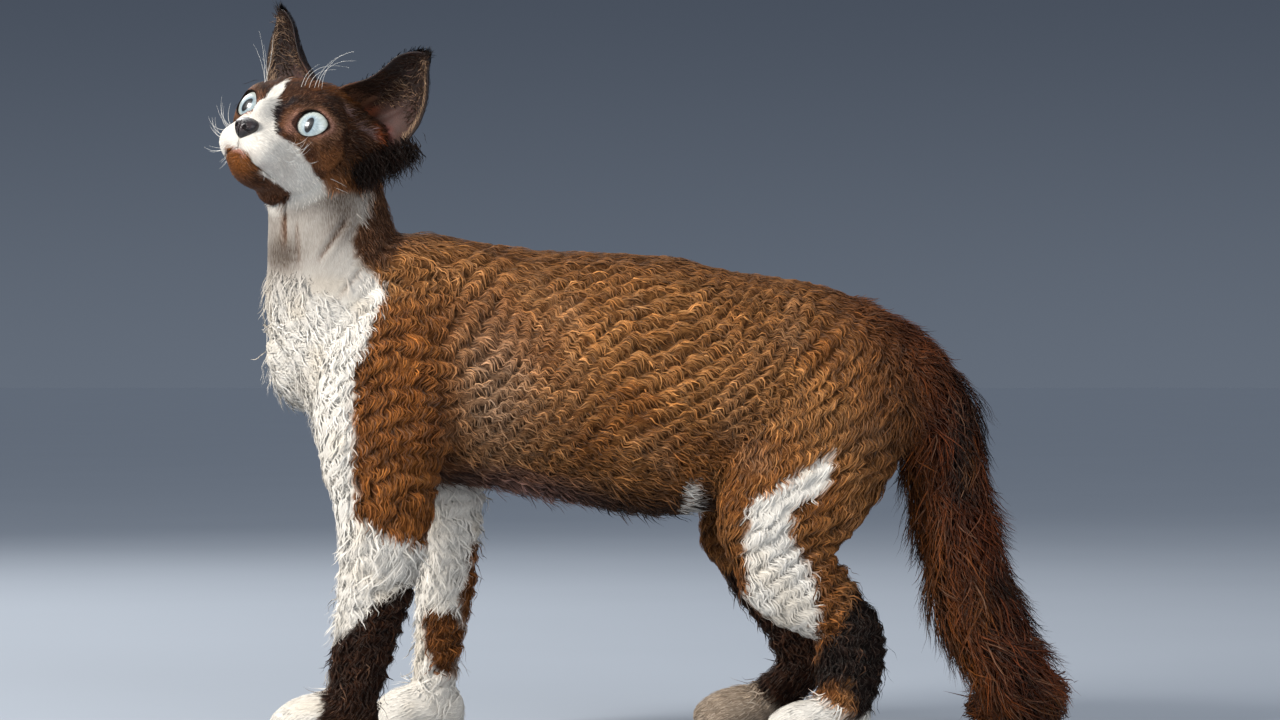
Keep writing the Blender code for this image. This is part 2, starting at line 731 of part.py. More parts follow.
def fuse(obj, pieces):
    """Joins closed pieces to the object by one Boolean union on their collection, then drops them."""
    group = bpy.data.collections.new("pieces")
    for piece in pieces:
        group.objects.link(piece)
    union = obj.modifiers.new("union", "BOOLEAN")
    union.operation = "UNION"
    union.operand_type = "COLLECTION"
    union.collection = group
    union.solver = "MANIFOLD"
    apply_modifiers(obj)
    for piece in pieces:
        bpy.data.objects.remove(piece)
    bpy.data.collections.remove(group)


def along_skin(vector, normal):
    """The unit part of a vector that runs along the skin."""
    flat = vector - np.dot(vector, normal) * normal
    return flat / np.linalg.norm(flat)


def coat_form(name, place, normal):
    """What grows at a place: the name of a form of lock, or None for a clump."""
    if name == "tail":
        return "tail"
    if normal[0] < CHEST_FRONT and CHEST_LOW < place[2] < CHEST_HIGH and name in ("torso", "neck"):
        return "chest"
    if name == "neck" and place[2] > SCRUFF_LOW and normal[0] > SCRUFF_BACK:
        return "scruff"
    return None


def roots(body, draw):
    """Places, normals, lies, forms and depths of coat of the clumps and locks, kept a spacing apart."""
    coat, names = Coat(), list(LIMBS)
    places, normals = scatter(body, CANDIDATES, draw)
    kept = []
    for place, normal, row in zip(places, normals, coat.nearest(places)):
        name = names[coat.limb[row]]
        form = coat_form(name, place, normal)
        if not form and (name not in CLUMPS or place[2] < CLUMP_FLOOR):
            continue
        wide, long = LOCKS[form][0] if form else CLUMPS[name]
        lean = LEANS.get(form, LIE_DROOP)
        lie = along_skin(coat.frames[0][row] + np.array(lean), normal)
        if kept:
            offset = np.array([k[0] for k in kept]) - place
            near = (offset @ lie / long) ** 2 + (offset @ np.cross(normal, lie) / wide) ** 2
            if (near + (offset @ normal / wide) ** 2).min() < 1:
                continue
        kept.append((place, normal, lie, form or name, coat.rows[row, 5]))
    return kept


def dress(body):
    """Clumps set close all over the body and melted together, then locks on tail, chest and scruff."""
    draw = np.random.default_rng(SEED)
    clumps, locks = [], []
    for place, normal, lie, name, depth in roots(body, draw):
        size = draw.uniform(*SIZE_RANGE)
        if name in LOCKS:
            if name == "tail":
                size *= depth / TAIL_DEPTH
            locks.append(lock(place, normal, lie, size, LOCKS[name][1]))
        else:
            wide, long = (spacing * CLUMP_REACH * size for spacing in CLUMPS[name])
            high = depth * (1 - CORE_SHARE) * CLUMP_LIFT
            clumps.append(clump(place, normal, lie, wide, long, high))
    fuse(body, clumps)
    melt("body", [body], COAT_VOXEL, COAT_SMOOTHING)
    thin_out(body, BODY_TRIANGLES)
    fuse(body, locks)


# ---------------------------------------------------------------- body


def body_core():
    """The whole body from neck to toes and tail, part of the way out through its coat."""
    pieces = [loft(name, rows, CORE_SHARE) for name, rows in LIMBS.items()]
    return melt("core", pieces, BODY_VOXEL, BODY_SMOOTHING)


def cuboid(name, size, matrix):
    """A box of a size, carried by a matrix."""
    bpy.ops.mesh.primitive_cube_add(size=1)
    obj = bpy.context.object
    obj.name = name
    obj.data.transform(Matrix.Scale(MM, 4) @ matrix @ Matrix.Diagonal((*size, 1)))
    return obj


def floor():
    """The ground under the cat, which every foot and the tail are cut flat by."""
    return cuboid("floor", FLOOR_SIZE, Matrix.Translation((0, 0, -FLOOR_SIZE[2] / 2)))


def blade(cut):
    """A thin cutter, drawn from the side as a line and given its reach across the body."""
    (x1, z1), (x2, z2), (y1, y2) = cut
    run = Vector((x2 - x1, 0, z2 - z1))
    turn = Matrix.Rotation(-math.atan2(run.z, run.x), 4, "Y")
    middle = Matrix.Translation(((x1 + x2) / 2, (y1 + y2) / 2, (z1 + z2) / 2))
    return cuboid("blade", (run.length, y2 - y1, GAP), middle @ turn)


def loose_parts(obj):
    """Splits a mesh into one object for each closed surface."""
    for other in bpy.context.selected_objects:
        other.select_set(False)
    obj.select_set(True)
    bpy.context.view_layer.objects.active = obj
    bpy.ops.object.mode_set(mode="EDIT")
    bpy.ops.mesh.select_all(action="SELECT")
    bpy.ops.mesh.separate(type="LOOSE")
    bpy.ops.object.mode_set(mode="OBJECT")
    return list(bpy.context.selected_objects)


def bulk(obj):
    """Volume of a closed mesh."""
    shape = bmesh.new()
    shape.from_mesh(obj.data)
    volume = shape.calc_volume()
    shape.free()
    return volume


def part_body(body):
    """Cuts the body with the blades and names each part by the seed that lies nearest to it."""
    for cut in CUTS:
        boolean(body, blade(cut), "DIFFERENCE")
    splitter = cuboid("splitter", SPLITTER_SIZE, Matrix.Translation(SPLITTER_PLACE))
    boolean(body, splitter, "DIFFERENCE")
    parts = sorted(loose_parts(body), key=bulk, reverse=True)
    free = dict(SEEDS)
    for part in parts[: len(SEEDS)]:
        points = vertex_arrays(part)[0]
        centre = (points.min(0) + points.max(0)) / 2
        part.name = min(free, key=lambda name: np.linalg.norm(np.array(free[name]) - centre))
        part.data.name = part.name
        del free[part.name]
    for scrap in parts[len(SEEDS) :]:
        bpy.data.objects.remove(scrap)


# ---------------------------------------------------------------- build


def centre_on_floor():
    """Carries the whole cat so that the middle of its box from above is the origin."""
    corners = []
    for obj in bpy.data.objects:
        points = vertex_arrays(obj)[0] * MM
        corners += [points.min(0), points.max(0)]
    middle = (np.min(corners, 0) + np.max(corners, 0)) / 2
    for obj in bpy.data.objects:
        obj.data.transform(Matrix.Translation((-middle[0], -middle[1], 0)))


def finish_nodes():
    """Gathers the nodes in one collection, each with its own material, and shades them smooth."""
    group = bpy.data.collections.new("devon_rex_cat")
    bpy.context.scene.collection.children.link(group)
    for obj in list(bpy.data.objects):
        colour, roughness = next(COLOURS[start] for start in COLOURS if obj.name.startswith(start))
        material = bpy.data.materials.new(obj.name)
        material.use_nodes = True
        shader = material.node_tree.nodes["Principled BSDF"]
        shader.inputs["Base Color"].default_value = (*colour, 1)
        shader.inputs["Roughness"].default_value = roughness
        shader.inputs["Metallic"].default_value = 0
        obj.data.materials.clear()
        obj.data.materials.append(material)
        obj.data.shade_smooth()
        obj.data.set_sharp_from_angle(angle=math.radians(SHARP_EDGE))
        for owner in list(obj.users_collection):
            owner.objects.unlink(obj)
        group.objects.link(obj)


def main():
    """Builds the cat."""
    for obj in list(bpy.data.objects):
        bpy.data.objects.remove(obj)
    body = body_core()
    dress(body)
    boolean(body, head_room(), "DIFFERENCE")
    boolean(body, floor(), "DIFFERENCE")
    keep_largest(body)
    part_body(body)
    build_head()
    build_nose()
    for name, side in (("left", 1), ("right", -1)):
        build_eye("eye_" + name, side)
        build_ear("ear_" + name, side)
    centre_on_floor()
    finish_nodes()


main()
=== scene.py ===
"""Devon Rex cat, life-size: one wavy skin under a mesh coat of curls, with eyes, ears, nose and whiskers.

Lengths are in millimetres in the cat's own frame until a mesh is made: the cat faces -X, z is up and its
left side is towards -Y. A row of a limb is one cross-section on its middle line: (x, y, z, half width
across, half depth, depth of coat), with the half sizes taken to the tips of the coat.
"""

import logging
import math
from dataclasses import dataclass, field
from enum import Enum
from typing import Any, Sequence

import bmesh
import bpy
import numpy as np
from mathutils import Matrix, Vector
from mathutils.bvhtree import BVHTree


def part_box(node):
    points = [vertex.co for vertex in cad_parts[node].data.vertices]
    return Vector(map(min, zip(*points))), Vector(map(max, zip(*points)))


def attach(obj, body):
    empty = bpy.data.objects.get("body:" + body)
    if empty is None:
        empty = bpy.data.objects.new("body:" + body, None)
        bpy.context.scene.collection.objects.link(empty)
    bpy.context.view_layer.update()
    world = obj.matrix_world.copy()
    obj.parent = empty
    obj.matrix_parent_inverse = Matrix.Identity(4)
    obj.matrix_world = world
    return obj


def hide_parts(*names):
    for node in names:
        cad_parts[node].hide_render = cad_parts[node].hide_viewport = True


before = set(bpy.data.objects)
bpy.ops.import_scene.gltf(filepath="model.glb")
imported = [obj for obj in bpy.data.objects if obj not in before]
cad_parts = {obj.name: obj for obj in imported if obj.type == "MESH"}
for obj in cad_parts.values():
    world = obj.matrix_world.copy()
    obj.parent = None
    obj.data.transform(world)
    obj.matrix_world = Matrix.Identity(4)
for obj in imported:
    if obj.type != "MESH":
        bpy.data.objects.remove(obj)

LOG = logging.getLogger("cat")
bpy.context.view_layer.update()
BODY = "root"
MM = 0.001  # metres in a millimetre
FULL_TURN = 2 * math.pi  # in radians
SEED = 11
Row = tuple[float, float, float, float, float, float]
Spot = tuple[float, float, float]
Outline = list[tuple[float, float]]
FLESH = sorted(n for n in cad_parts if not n.startswith(("eye", "ear", "nose")))


class Slot(Enum):
    """The record's material slots, listed by name."""

    BROWN = "brown_coat"
    WHITE = "white_coat"
    EAR = "ear_skin"
    NOSE = "nose_leather"
    EYE = "eye"


class Side(Enum):
    """The cat's own sides, as the sign of the head's left axis."""

    LEFT = 1
    RIGHT = -1

    def pick(self, pair: tuple[float, float]) -> float:
        """This side's number out of a pair that has the left side's first."""
        return pair[0 if self is Side.LEFT else 1]


class Kind(Enum):
    """The kinds of hair that the coat is made of."""

    FACE = "face"
    NAPE = "nape"
    THROAT = "throat"
    WAVE = "wave"
    RUMP = "rump"
    CHEST = "chest"
    BELLY = "belly"
    LEG = "leg"
    PAW = "paw"
    TAIL = "tail"
    SHAG = "shag"
    RUFF = "ruff"


# ---------------------------------------------------------------- limbs

LIMBS: dict[str, list[Row]] = {
    "neck": [
        (-188, 0, 325, 29, 30, 3),
        (-186, 0, 309, 31, 32, 3),
        (-183, 0, 289, 32, 34, 3),
        (-180, 0, 268, 34, 38, 4),
        (-174, 0, 240, 38, 45, 6),
        (-160, 0, 214, 40, 50, 8),
    ],
    "torso": [
        (-203, 0, 203, 22, 27, 8),
        (-194, 0, 206, 33, 43, 8),
        (-170, 0, 209, 41, 61, 8),
        (-143, 0, 211, 44, 69, 8),
        (-115, 0, 207, 46, 69, 8),
        (-77, 0, 202, 49, 69, 8),
        (-33, 0, 197, 52, 72, 8),
        (5, 0, 193, 51, 73, 7),
        (44, 0, 194, 49, 64, 7),
        (77, 0, 195, 46, 58, 7),
        (110, 0, 192, 41, 48, 7),
        (137, 0, 187, 33, 36, 8),
        (155, 0, 181, 24, 23, 9),
    ],
    "tail": [
        (140, 0, 193, 26, 23, 9),
        (148, 0, 182, 27, 27, 13),
        (154, 0, 163, 26, 28, 18),
        (159, 0, 130, 25, 26, 18),
        (167, 0, 97, 26, 27, 19),
        (174, 0, 70, 27, 29, 21),
        (188, 0, 43, 25, 26, 19),
        (203, 5, 24, 21, 22, 16),
        (210, 21, 17, 17, 17, 11),
        (206, 42, 14, 15, 14, 9),
        (193, 62, 12, 12, 12, 7),
        (180, 74, 10, 8, 9, 4),
    ],
    "fore_left": [
        (-128, -27, 246, 12, 25, 5),
        (-136, -31, 216, 17, 37, 6),
        (-148, -33, 186, 20, 42, 7),
        (-151, -34, 158, 21, 37, 7),
        (-150, -34, 131, 20, 30, 7),
        (-151, -34, 107, 19, 26, 7),
        (-156, -34, 77, 17, 21.5, 6),
        (-160.5, -34, 56, 15.5, 18.5, 5),
        (-165, -34, 34, 14, 16, 4),
        (-169, -34, 16, 14, 15, 4),
    ],
    "fore_right": [
        (-128, 27, 246, 12, 25, 5),
        (-133, 31, 214, 17, 34, 6),
        (-129, 33, 184, 19, 33, 7),
        (-119, 33, 157, 20, 27, 7),
        (-118, 33, 130, 19, 22, 6),
        (-118, 33, 104, 18, 19, 6),
        (-120, 33, 79, 16, 18.5, 6),
        (-123, 33, 54, 14, 15, 5),
        (-125, 33, 34, 13, 13.5, 4),
        (-126, 33, 16, 14, 14, 4),
    ],
    "thigh_left": [
        (108, -18, 212, 15, 30, 7),
        (103, -23, 196, 22, 43, 7),
        (87, -27, 164, 24, 46, 7),
        (69, -30, 131, 22, 42, 7),
        (57, -32, 110, 19, 31, 7),
        (53, -33, 99, 15, 21, 7),
    ],
    "shank_left": [
        (57, -33, 103, 16, 23, 7),
        (66, -33, 93, 17, 28, 7),
        (84, -33, 79, 16, 25, 7),
        (97, -33, 70, 14, 19, 6),
        (104, -33, 65, 12, 14, 5),
    ],
    "hock_left": [
        (106, -33, 69, 12, 15, 5),
        (104, -33, 56, 13.5, 20, 6),
        (102, -33, 34, 14, 19, 5),
        (98, -34, 15, 14, 15, 4),
    ],
    "thigh_right": [
        (108, 18, 212, 15, 30, 7),
        (101, 23, 194, 22, 43, 7),
        (85, 27, 161, 23, 44, 7),
        (64, 30, 131, 21, 43, 7),
        (52, 32, 108, 18, 34, 7),
        (50, 33, 96, 14, 25, 6),
    ],
    "shank_right": [
        (54, 33, 101, 15, 25, 6),
        (62, 33, 84, 15, 23, 6),
        (72, 33, 64, 13, 18, 6),
        (78, 33, 49, 12, 17, 6),
        (86, 33, 42, 11, 13, 5),
    ],
    "hock_right": [
        (88, 33, 44, 11, 12, 5),
        (74, 33, 29, 12.5, 14, 5),
        (58, 33, 18, 13.5, 13, 4),
    ],
    "paw_fore_left": [
        (-159, -34, 12, 12, 13, 3),
        (-172, -34, 12, 15.5, 15.5, 3),
        (-188, -34.5, 12, 17.5, 15.5, 3),
        (-200, -35, 10, 15, 13, 3),
        (-207, -35, 8, 9, 9, 3),
    ],
    "paw_fore_right": [
        (-115, 33, 11, 12, 13, 3),
        (-127, 33, 12, 15, 15.5, 3),
        (-141, 33, 12, 17, 15, 3),
        (-150, 33, 10, 14.5, 12.5, 3),
        (-156, 33, 8, 9, 9, 3),
    ],
    "paw_hind_left": [
        (107, -33, 11, 11, 12, 3),
        (97, -34, 12, 14, 15, 3),
        (84, -36, 11, 16, 14, 3),
        (72, -38, 10, 15.5, 12.5, 3),
        (63, -39, 8, 10, 9, 3),
    ],
    "paw_hind_right": [
        (58, 33, 13, 13, 13, 3),
        (46, 33, 12, 15, 15, 3),
        (34, 33.5, 10.5, 15.5, 13.5, 3),
        (24, 34, 8, 10, 9.5, 3),
    ],
}
SKULL: list[tuple[Spot, Spot]] = [  # centre and radii of the head's masses, mirrored where off the middle
    ((-25, 0, 5), (33, 29, 24)),
    ((-5, 0, 10), (15, 24, 12)),
    ((-3, 20, 8), (10, 13, 9)),
    ((11, 0, -1), (17, 7, 10)),
    ((17, 0, -18), (14, 13, 10)),
    ((20, 11, -21.6), (10, 9, 8.6)),
    ((16, 0, -31.6), (10, 9.5, 6.1)),
    ((-3, 12, -29), (20, 10, 8)),
    ((-6, 23, -9), (14, 13, 12)),
    ((-36, 27, 6), (13, 13, 13)),
    ((8, 13, -12), (12, 8, 10)),
    ((3, 10, 5), (8, 7, 8)),
    ((-24, 0, -18), (27, 24, 16)),
    ((-13, 16, -23), (15, 11, 11)),
    ((-44, 0, -2), (18, 24, 22)),
    ((-10.5, 0, -39.5), (8, 8, 6.5)),
    ((8, 0, -35.6), (12, 9, 6.0)),
]
HEAD_PLACE = (-203, -22, 337.5)
HEAD_YAW, HEAD_PITCH, HEAD_ROLL = 57, 15, 16
EYE_PLACE, EYE_RADIUS, LID_RADIUS = (-1.5, 21.5, 0), 12, 12.9
SKULL_BLEND = 3.2
SKULL_CENTRE, SKULL_REACH, SKULL_STEPS, SKULL_STRIDE = (-8, 0, -6), 80, 60, 0.7
HEAD_EDGE = (0.5, 7.0)  # distances outside the skull between which the head's coat gives way to the neck's
HEAD_REAR = (-70, -52)  # places on the head's long axis between which it does so too
ROW_REACH = 12  # how far a row of a limb counts as near along its middle line
WAVE_LENGTH, LOCK_WIDTH = 8.9, 11.0
SKIN_SHARE = 0.62  # the skin lies this share of the way out through the coat
TOE_SHARES = (-0.72, -0.26, 0.26, 0.72)  # of the paw's half width
OUTER_TOE_BACK = 3.5


def smooth_rows(rows: Sequence[Sequence[float]], steps: int) -> np.ndarray:
    """Draws a smooth curve through rows.

    Args:
        rows: rows of numbers to pass through.
        steps: rows made for each span.

    Returns:
        The rows of the curve.
    """
    given = np.array(rows, float)
    padded = np.vstack([2 * given[0] - given[1], given, 2 * given[-1] - given[-2]])
    found = []
    for i in range(1, len(padded) - 2):
        a, b, c, d = padded[i - 1 : i + 3]
        for t in np.arange(steps) / steps:
            square, cube = (2 * a - 5 * b + 4 * c - d) * t**2, (3 * b - a - 3 * c + d) * t**3
            found.append(0.5 * (2 * b + (c - a) * t + square + cube))
    found.append(given[-1])
    return np.array(found)


def ring_frames(rows: np.ndarray) -> tuple[np.ndarray, np.ndarray, np.ndarray]:
    """Finds the directions of each cross-section.

    Args:
        rows: rows of a limb.

    Returns:
        Unit vectors along the middle line, across the body and deep, for each row.
    """
    tangents = np.gradient(rows[:, :3], axis=0)
    tangents /= np.linalg.norm(tangents, axis=1)[:, None]
    across = np.array([0.0, 1.0, 0.0]) - tangents[:, 1:2] * tangents
    across /= np.linalg.norm(across, axis=1)[:, None]
    return tangents, across, np.cross(tangents, across)


def unit(vectors: np.ndarray) -> np.ndarray:
    """Scales vectors to length one."""
    return vectors / np.maximum(np.linalg.norm(vectors, axis=-1, keepdims=True), 1e-9)


def along(vectors: np.ndarray, normals: np.ndarray) -> np.ndarray:
    """Turns vectors into unit vectors along a surface with these normals."""
    return unit(vectors - (vectors * normals).sum(-1, keepdims=True) * normals)


def step(low: float, high: float, values: np.ndarray) -> np.ndarray:
    """Rises smoothly from 0 at low to 1 at high."""
    t = np.clip((values - low) / (high - low), 0, 1)
    return t * t * (3 - 2 * t)


def noise(points: np.ndarray, size: float, seed: int) -> np.ndarray:
    """Smooth repeatable noise.

    Args:
        points: places in space.
        size: distance over which the noise changes.
        seed: picks one noise.

    Returns:
        A value from -1 to 1 at each place.
    """
    scaled = points / size + np.array([0.31, 0.73, 0.17]) * seed
    cell = np.floor(scaled).astype(np.int64)
    part = scaled - cell
    part = part * part * (3 - 2 * part)
    total = np.zeros(len(points))
    for corner in np.ndindex(2, 2, 2):
        mixed = (cell + corner) @ np.array([374761393, 668265263, 1442695041]) + seed * 97
        mixed = (mixed ^ (mixed >> 13)) * 1274126177
        mixed = (mixed ^ (mixed >> 16)) & 0xFFFF
        weight = np.prod(np.where(corner, part, 1 - part), axis=1)
        total += weight * (mixed / 0x7FFF - 1)
    return total


def beside(points: np.ndarray, start: Sequence[float], end: Sequence[float]) -> tuple[np.ndarray, np.ndarray]:
    """Measures points against one straight piece of a line.

    Args:
        points: places in a plane or in space.
        start: one end of the piece.
        end: its other end.

    Returns:
        How far along the piece each point lies, from 0 to 1, and its distance from the piece.
    """
    run, offset = np.subtract(end, start), points - start
    share = np.clip(offset @ run / (run @ run), 0, 1)
    return share, np.linalg.norm(offset - share[:, None] * run, axis=1)


def line_distance(points: np.ndarray, path: Sequence[Sequence[float]]) -> np.ndarray:
    """Measures points against a line of straight pieces.

    Args:
        points: places in a plane or in space.
        path: corners of the line.

    Returns:
        The distance from each point to the line.
    """
    nearest = np.full(len(points), np.inf)
    for start, end in zip(path, path[1:]):
        nearest = np.minimum(nearest, beside(points, start, end)[1])
    return nearest


def edge_distance(outline: Outline, flat: np.ndarray) -> np.ndarray:
    """Signed distance to a closed outline.

    Args:
        outline: corners of the outline.
        flat: points in the plane of the outline.

    Returns:
        The distance from each point to the outline, above 0 inside it.
    """
    closed = np.array([*outline, outline[0]], float)
    inside = np.zeros(len(flat), bool)
    for a, b in zip(closed, closed[1:]):
        run = b - a
        crosses = (a[1] > flat[:, 1]) != (b[1] > flat[:, 1])
        level = np.where(crosses, (flat[:, 1] - a[1]) / (run[1] if run[1] else 1), 0)
        inside ^= crosses & (flat[:, 0] < a[0] + level * run[0])
    nearest = line_distance(flat, closed)
    return np.where(inside, nearest, -nearest)


@dataclass
class HeadPlan:
    """The head's own frame and the smoothly blended masses of its skull."""

    place: Spot = HEAD_PLACE
    turns: Spot = (HEAD_YAW, HEAD_PITCH, HEAD_ROLL)
    matrix: Matrix = field(init=False)

    def __post_init__(self) -> None:
        """Works out the frame: x to the nose, y to the cat's left and z to the crown."""
        yaw, pitch, roll = (math.radians(a) for a in self.turns)
        level_out = Vector((-math.cos(yaw), -math.sin(yaw), 0)) * math.cos(pitch)
        ahead = level_out + Vector((0, 0, math.sin(pitch)))
        level = Vector((0, 0, 1)).cross(ahead).normalized()
        upright = ahead.cross(level)
        left = level * math.cos(roll) - upright * math.sin(roll)
        self.matrix = Matrix((ahead, left, ahead.cross(left))).transposed().to_4x4()
        self.matrix.translation = Vector(self.place)

    def turn(self) -> np.ndarray:
        """The head's axes as the columns of an array."""
        return np.array(self.matrix.to_3x3())

    def inward(self, points: np.ndarray) -> np.ndarray:
        """Carries points from the cat's frame into the head's."""
        return (points - np.array(self.place)) @ self.turn()

    def outward(self, points: np.ndarray) -> np.ndarray:
        """Carries points from the head's frame into the cat's."""
        return points @ self.turn().T + np.array(self.place)

    def field(self, points: np.ndarray) -> np.ndarray:
        """Measures points against the blended masses.

        Args:
            points: places in the head's frame.

        Returns:
            How far each point lies outside them, in millimetres.
        """
        total = np.zeros(len(points))
        for centre, radii in [*SKULL, (EYE_PLACE, (LID_RADIUS,) * 3)]:
            for side in (1, -1) if centre[1] else (1,):
                scaled = (points - np.array(centre) * (1, side, 1)) / radii
                reach = np.linalg.norm(scaled, axis=1)
                slope = np.maximum(np.linalg.norm(scaled / radii, axis=1), 1e-9)
                total += np.exp(-reach * (reach - 1) / slope / SKULL_BLEND)
        return -SKULL_BLEND * np.log(np.maximum(total, 1e-300))


HEAD = HeadPlan()


@dataclass(frozen=True)
class Lids:
    """The almond openings of the eyes: one ellipse in front of each eyeball."""

    turns: tuple[float, float] = (13.5, 12)  # of the left and the right eye
    wide: tuple[float, float] = (10.0, 11.6)  # half widths of their openings
    lift: float = 8
    slant: float = 17
    deep: float = 10
    high: float = 7.5
    pinch: float = 0.22  # how much lower the opening is at its corners
    ahead: float = 13

    def frame(self, side: Side) -> tuple[np.ndarray, np.ndarray]:
        """Finds how an eye opens.

        Args:
            side: which eye.

        Returns:
            Its centre in the head's frame, and axes as columns: out of the opening, across and up.
        """
        sign = side.value
        angles = side.pick(self.turns) * sign, -self.lift, self.slant * sign
        aside, lift, slant = (math.radians(a) for a in angles)
        turn = Matrix.Rotation(aside, 3, "Z") @ Matrix.Rotation(lift, 3, "Y") @ Matrix.Rotation(slant, 3, "X")
        return np.array(EYE_PLACE) * (1, sign, 1), np.array(turn)

    def reach(self, local: np.ndarray) -> tuple[np.ndarray, np.ndarray, np.ndarray]:
        """Measures points of the head against the nearer opening.

        Args:
            local: points in the head's frame.

        Returns:
            The share of the way out to the opening's edge, how far to the outer corner a point lies, from -1
            to 1, and its distance ahead of the eyeball's middle.
        """
        found = []
        for side in Side:
            centre, turn = self.frame(side)
            q = (local - centre) @ turn
            wide = q[:, 1] * side.value / side.pick(self.wide)
            high = q[:, 2] / (self.high * (1 - self.pinch * np.clip(np.abs(wide), 0, 1) ** 2))
            found.append(np.stack([np.hypot(wide, high), wide, q[:, 0]], 1))
        left = (local[:, 1] > 0)[:, None]
        return tuple(np.where(left, found[0], found[1]).T)


LIDS = Lids()


def place_shift() -> np.ndarray:
    """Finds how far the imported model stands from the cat's own frame.

    Returns:
        The shift in millimetres.
    """
    low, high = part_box("eye_left")
    return np.array((low + high) / 2 / MM - HEAD.matrix @ Vector(EYE_PLACE))


SHIFT = place_shift()


# ---------------------------------------------------------------- meshes


def to_world(points: np.ndarray) -> np.ndarray:
    """Carries points from the cat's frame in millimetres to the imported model's in metres."""
    return (points + SHIFT) * MM


def mesh_object(name: str, points: np.ndarray, triangles: np.ndarray) -> bpy.types.Object:
    """Makes an object from arrays.

    Args:
        name: name of the object.
        points: places in the cat's frame.
        triangles: three corners of each face.

    Returns:
        The new object, in the scene and shaded smooth.
    """
    mesh = bpy.data.meshes.new(name)
    mesh.vertices.add(len(points))
    mesh.vertices.foreach_set("co", to_world(points).ravel())
    mesh.loops.add(triangles.size)
    mesh.loops.foreach_set("vertex_index", triangles.ravel().astype(np.int32))
    mesh.polygons.add(len(triangles))
    mesh.polygons.foreach_set("loop_start", np.arange(0, triangles.size, 3, dtype=np.int32))
    mesh.update(calc_edges=True)
    mesh.shade_smooth()
    obj = bpy.data.objects.new(name, mesh)
    bpy.context.scene.collection.objects.link(obj)
    return obj


def arrays_of(obj: bpy.types.Object) -> tuple[np.ndarray, np.ndarray, np.ndarray]:
    """Reads a mesh into arrays.

    Args:
        obj: the object, whose place is in its mesh.

    Returns:
        Points in the cat's frame, normals, and the corners of the triangles.
    """
    mesh = obj.data
    points, normals = np.empty(len(mesh.vertices) * 3), np.empty(len(mesh.vertices) * 3)
    mesh.vertices.foreach_get("co", points)
    mesh.vertex_normals.foreach_get("vector", normals)
    mesh.calc_loop_triangles()
    corners = np.empty(len(mesh.loop_triangles) * 3, int)
    mesh.loop_triangles.foreach_get("vertices", corners)
    return points.reshape(-1, 3) / MM - SHIFT, normals.reshape(-1, 3), corners.reshape(-1, 3)


def set_points(obj: bpy.types.Object, points: np.ndarray) -> None:
    """Moves the vertices to points of the cat's frame."""
    obj.data.vertices.foreach_set("co", to_world(points).ravel())
    obj.data.update()


def set_values(obj: bpy.types.Object, name: str, values: np.ndarray) -> None:
    """Stores a colour or vector at each vertex.

    Args:
        obj: the object.
        name: name of the attribute.
        values: three numbers for each vertex.
    """
    stored = obj.data.attributes.new(name, "FLOAT_VECTOR", "POINT")
    stored.data.foreach_set("vector", np.ascontiguousarray(values, np.float32).ravel())


def apply_modifiers(obj: bpy.types.Object) -> None:
    """Replaces the object's mesh by its evaluated one.

    Args:
        obj: the object with its modifiers.
    """
    graph = bpy.context.evaluated_depsgraph_get()
    mesh = bpy.data.meshes.new_from_object(obj.evaluated_get(graph))
    obj.modifiers.clear()
    obj.data = mesh


def tube(sections: Sequence[np.ndarray], start: np.ndarray, end: np.ndarray) -> tuple[np.ndarray, np.ndarray]:
    """Joins rings of points to a closed tube that runs to a point at both ends.

    Args:
        sections: rings with the same number of points each.
        start: the point before the first ring.
        end: the point after the last ring.

    Returns:
        The points and the triangles.
    """
    sides = len(sections[0])
    points = np.vstack([start[None], *sections, end[None]])
    faces = []
    last = len(points) - 1
    for k in range(sides):
        after = (k + 1) % sides
        faces.append((0, 1 + after, 1 + k))
        for i in range(len(sections) - 1):
            a, b = 1 + i * sides + k, 1 + i * sides + after
            faces += [(a, b, b + sides), (a, b + sides, a + sides)]
        faces.append((last - sides + k, last - sides + after, last))
    return points, np.array(faces)


def loft(name: str, rows: Sequence[Row], share: float, sides: int = 28, steps: int = 6) -> bpy.types.Object:
    """Draws a closed tube through the rows of a limb, with round ends.

    Args:
        name: name of the object.
        rows: rows of the limb.
        share: 0 gives the skin under the coat and 1 the tips of the coat.
        sides: points of a ring.
        steps: rings for each span.

    Returns:
        The tube.
    """
    found = smooth_rows(rows, steps)
    tangents, across, deep = ring_frames(found)
    sizes = found[:, 3:5] - found[:, 5:6] * (1 - share)
    turns = FULL_TURN * np.arange(sides) / sides
    circle = np.stack([np.cos(turns), np.sin(turns)], 1)
    plan = [(i, 0.0, 1.0) for i in range(len(found))]
    for i, way in ((0, -1), (len(found) - 1, 1)):
        reach = sizes[i].min() * 0.6
        rings = [(i, way * reach * math.sin(a), math.cos(a)) for a in (0.4, 0.8, 1.2)]
        plan = rings[::-1] + plan if way < 0 else plan + rings
    sections = []
    for i, shift, scale in plan:
        flat = circle * sizes[i] * scale
        sections.append(found[i, :3] + tangents[i] * shift + flat[:, :1] * across[i] + flat[:, 1:] * deep[i])
    ends = [found[i, :3] + tangents[i] * way * sizes[i].min() * 0.6 for i, way in ((0, -1), (-1, 1))]
    obj = mesh_object(name, *tube(sections, *ends))
    outward_faces(obj)
    return obj


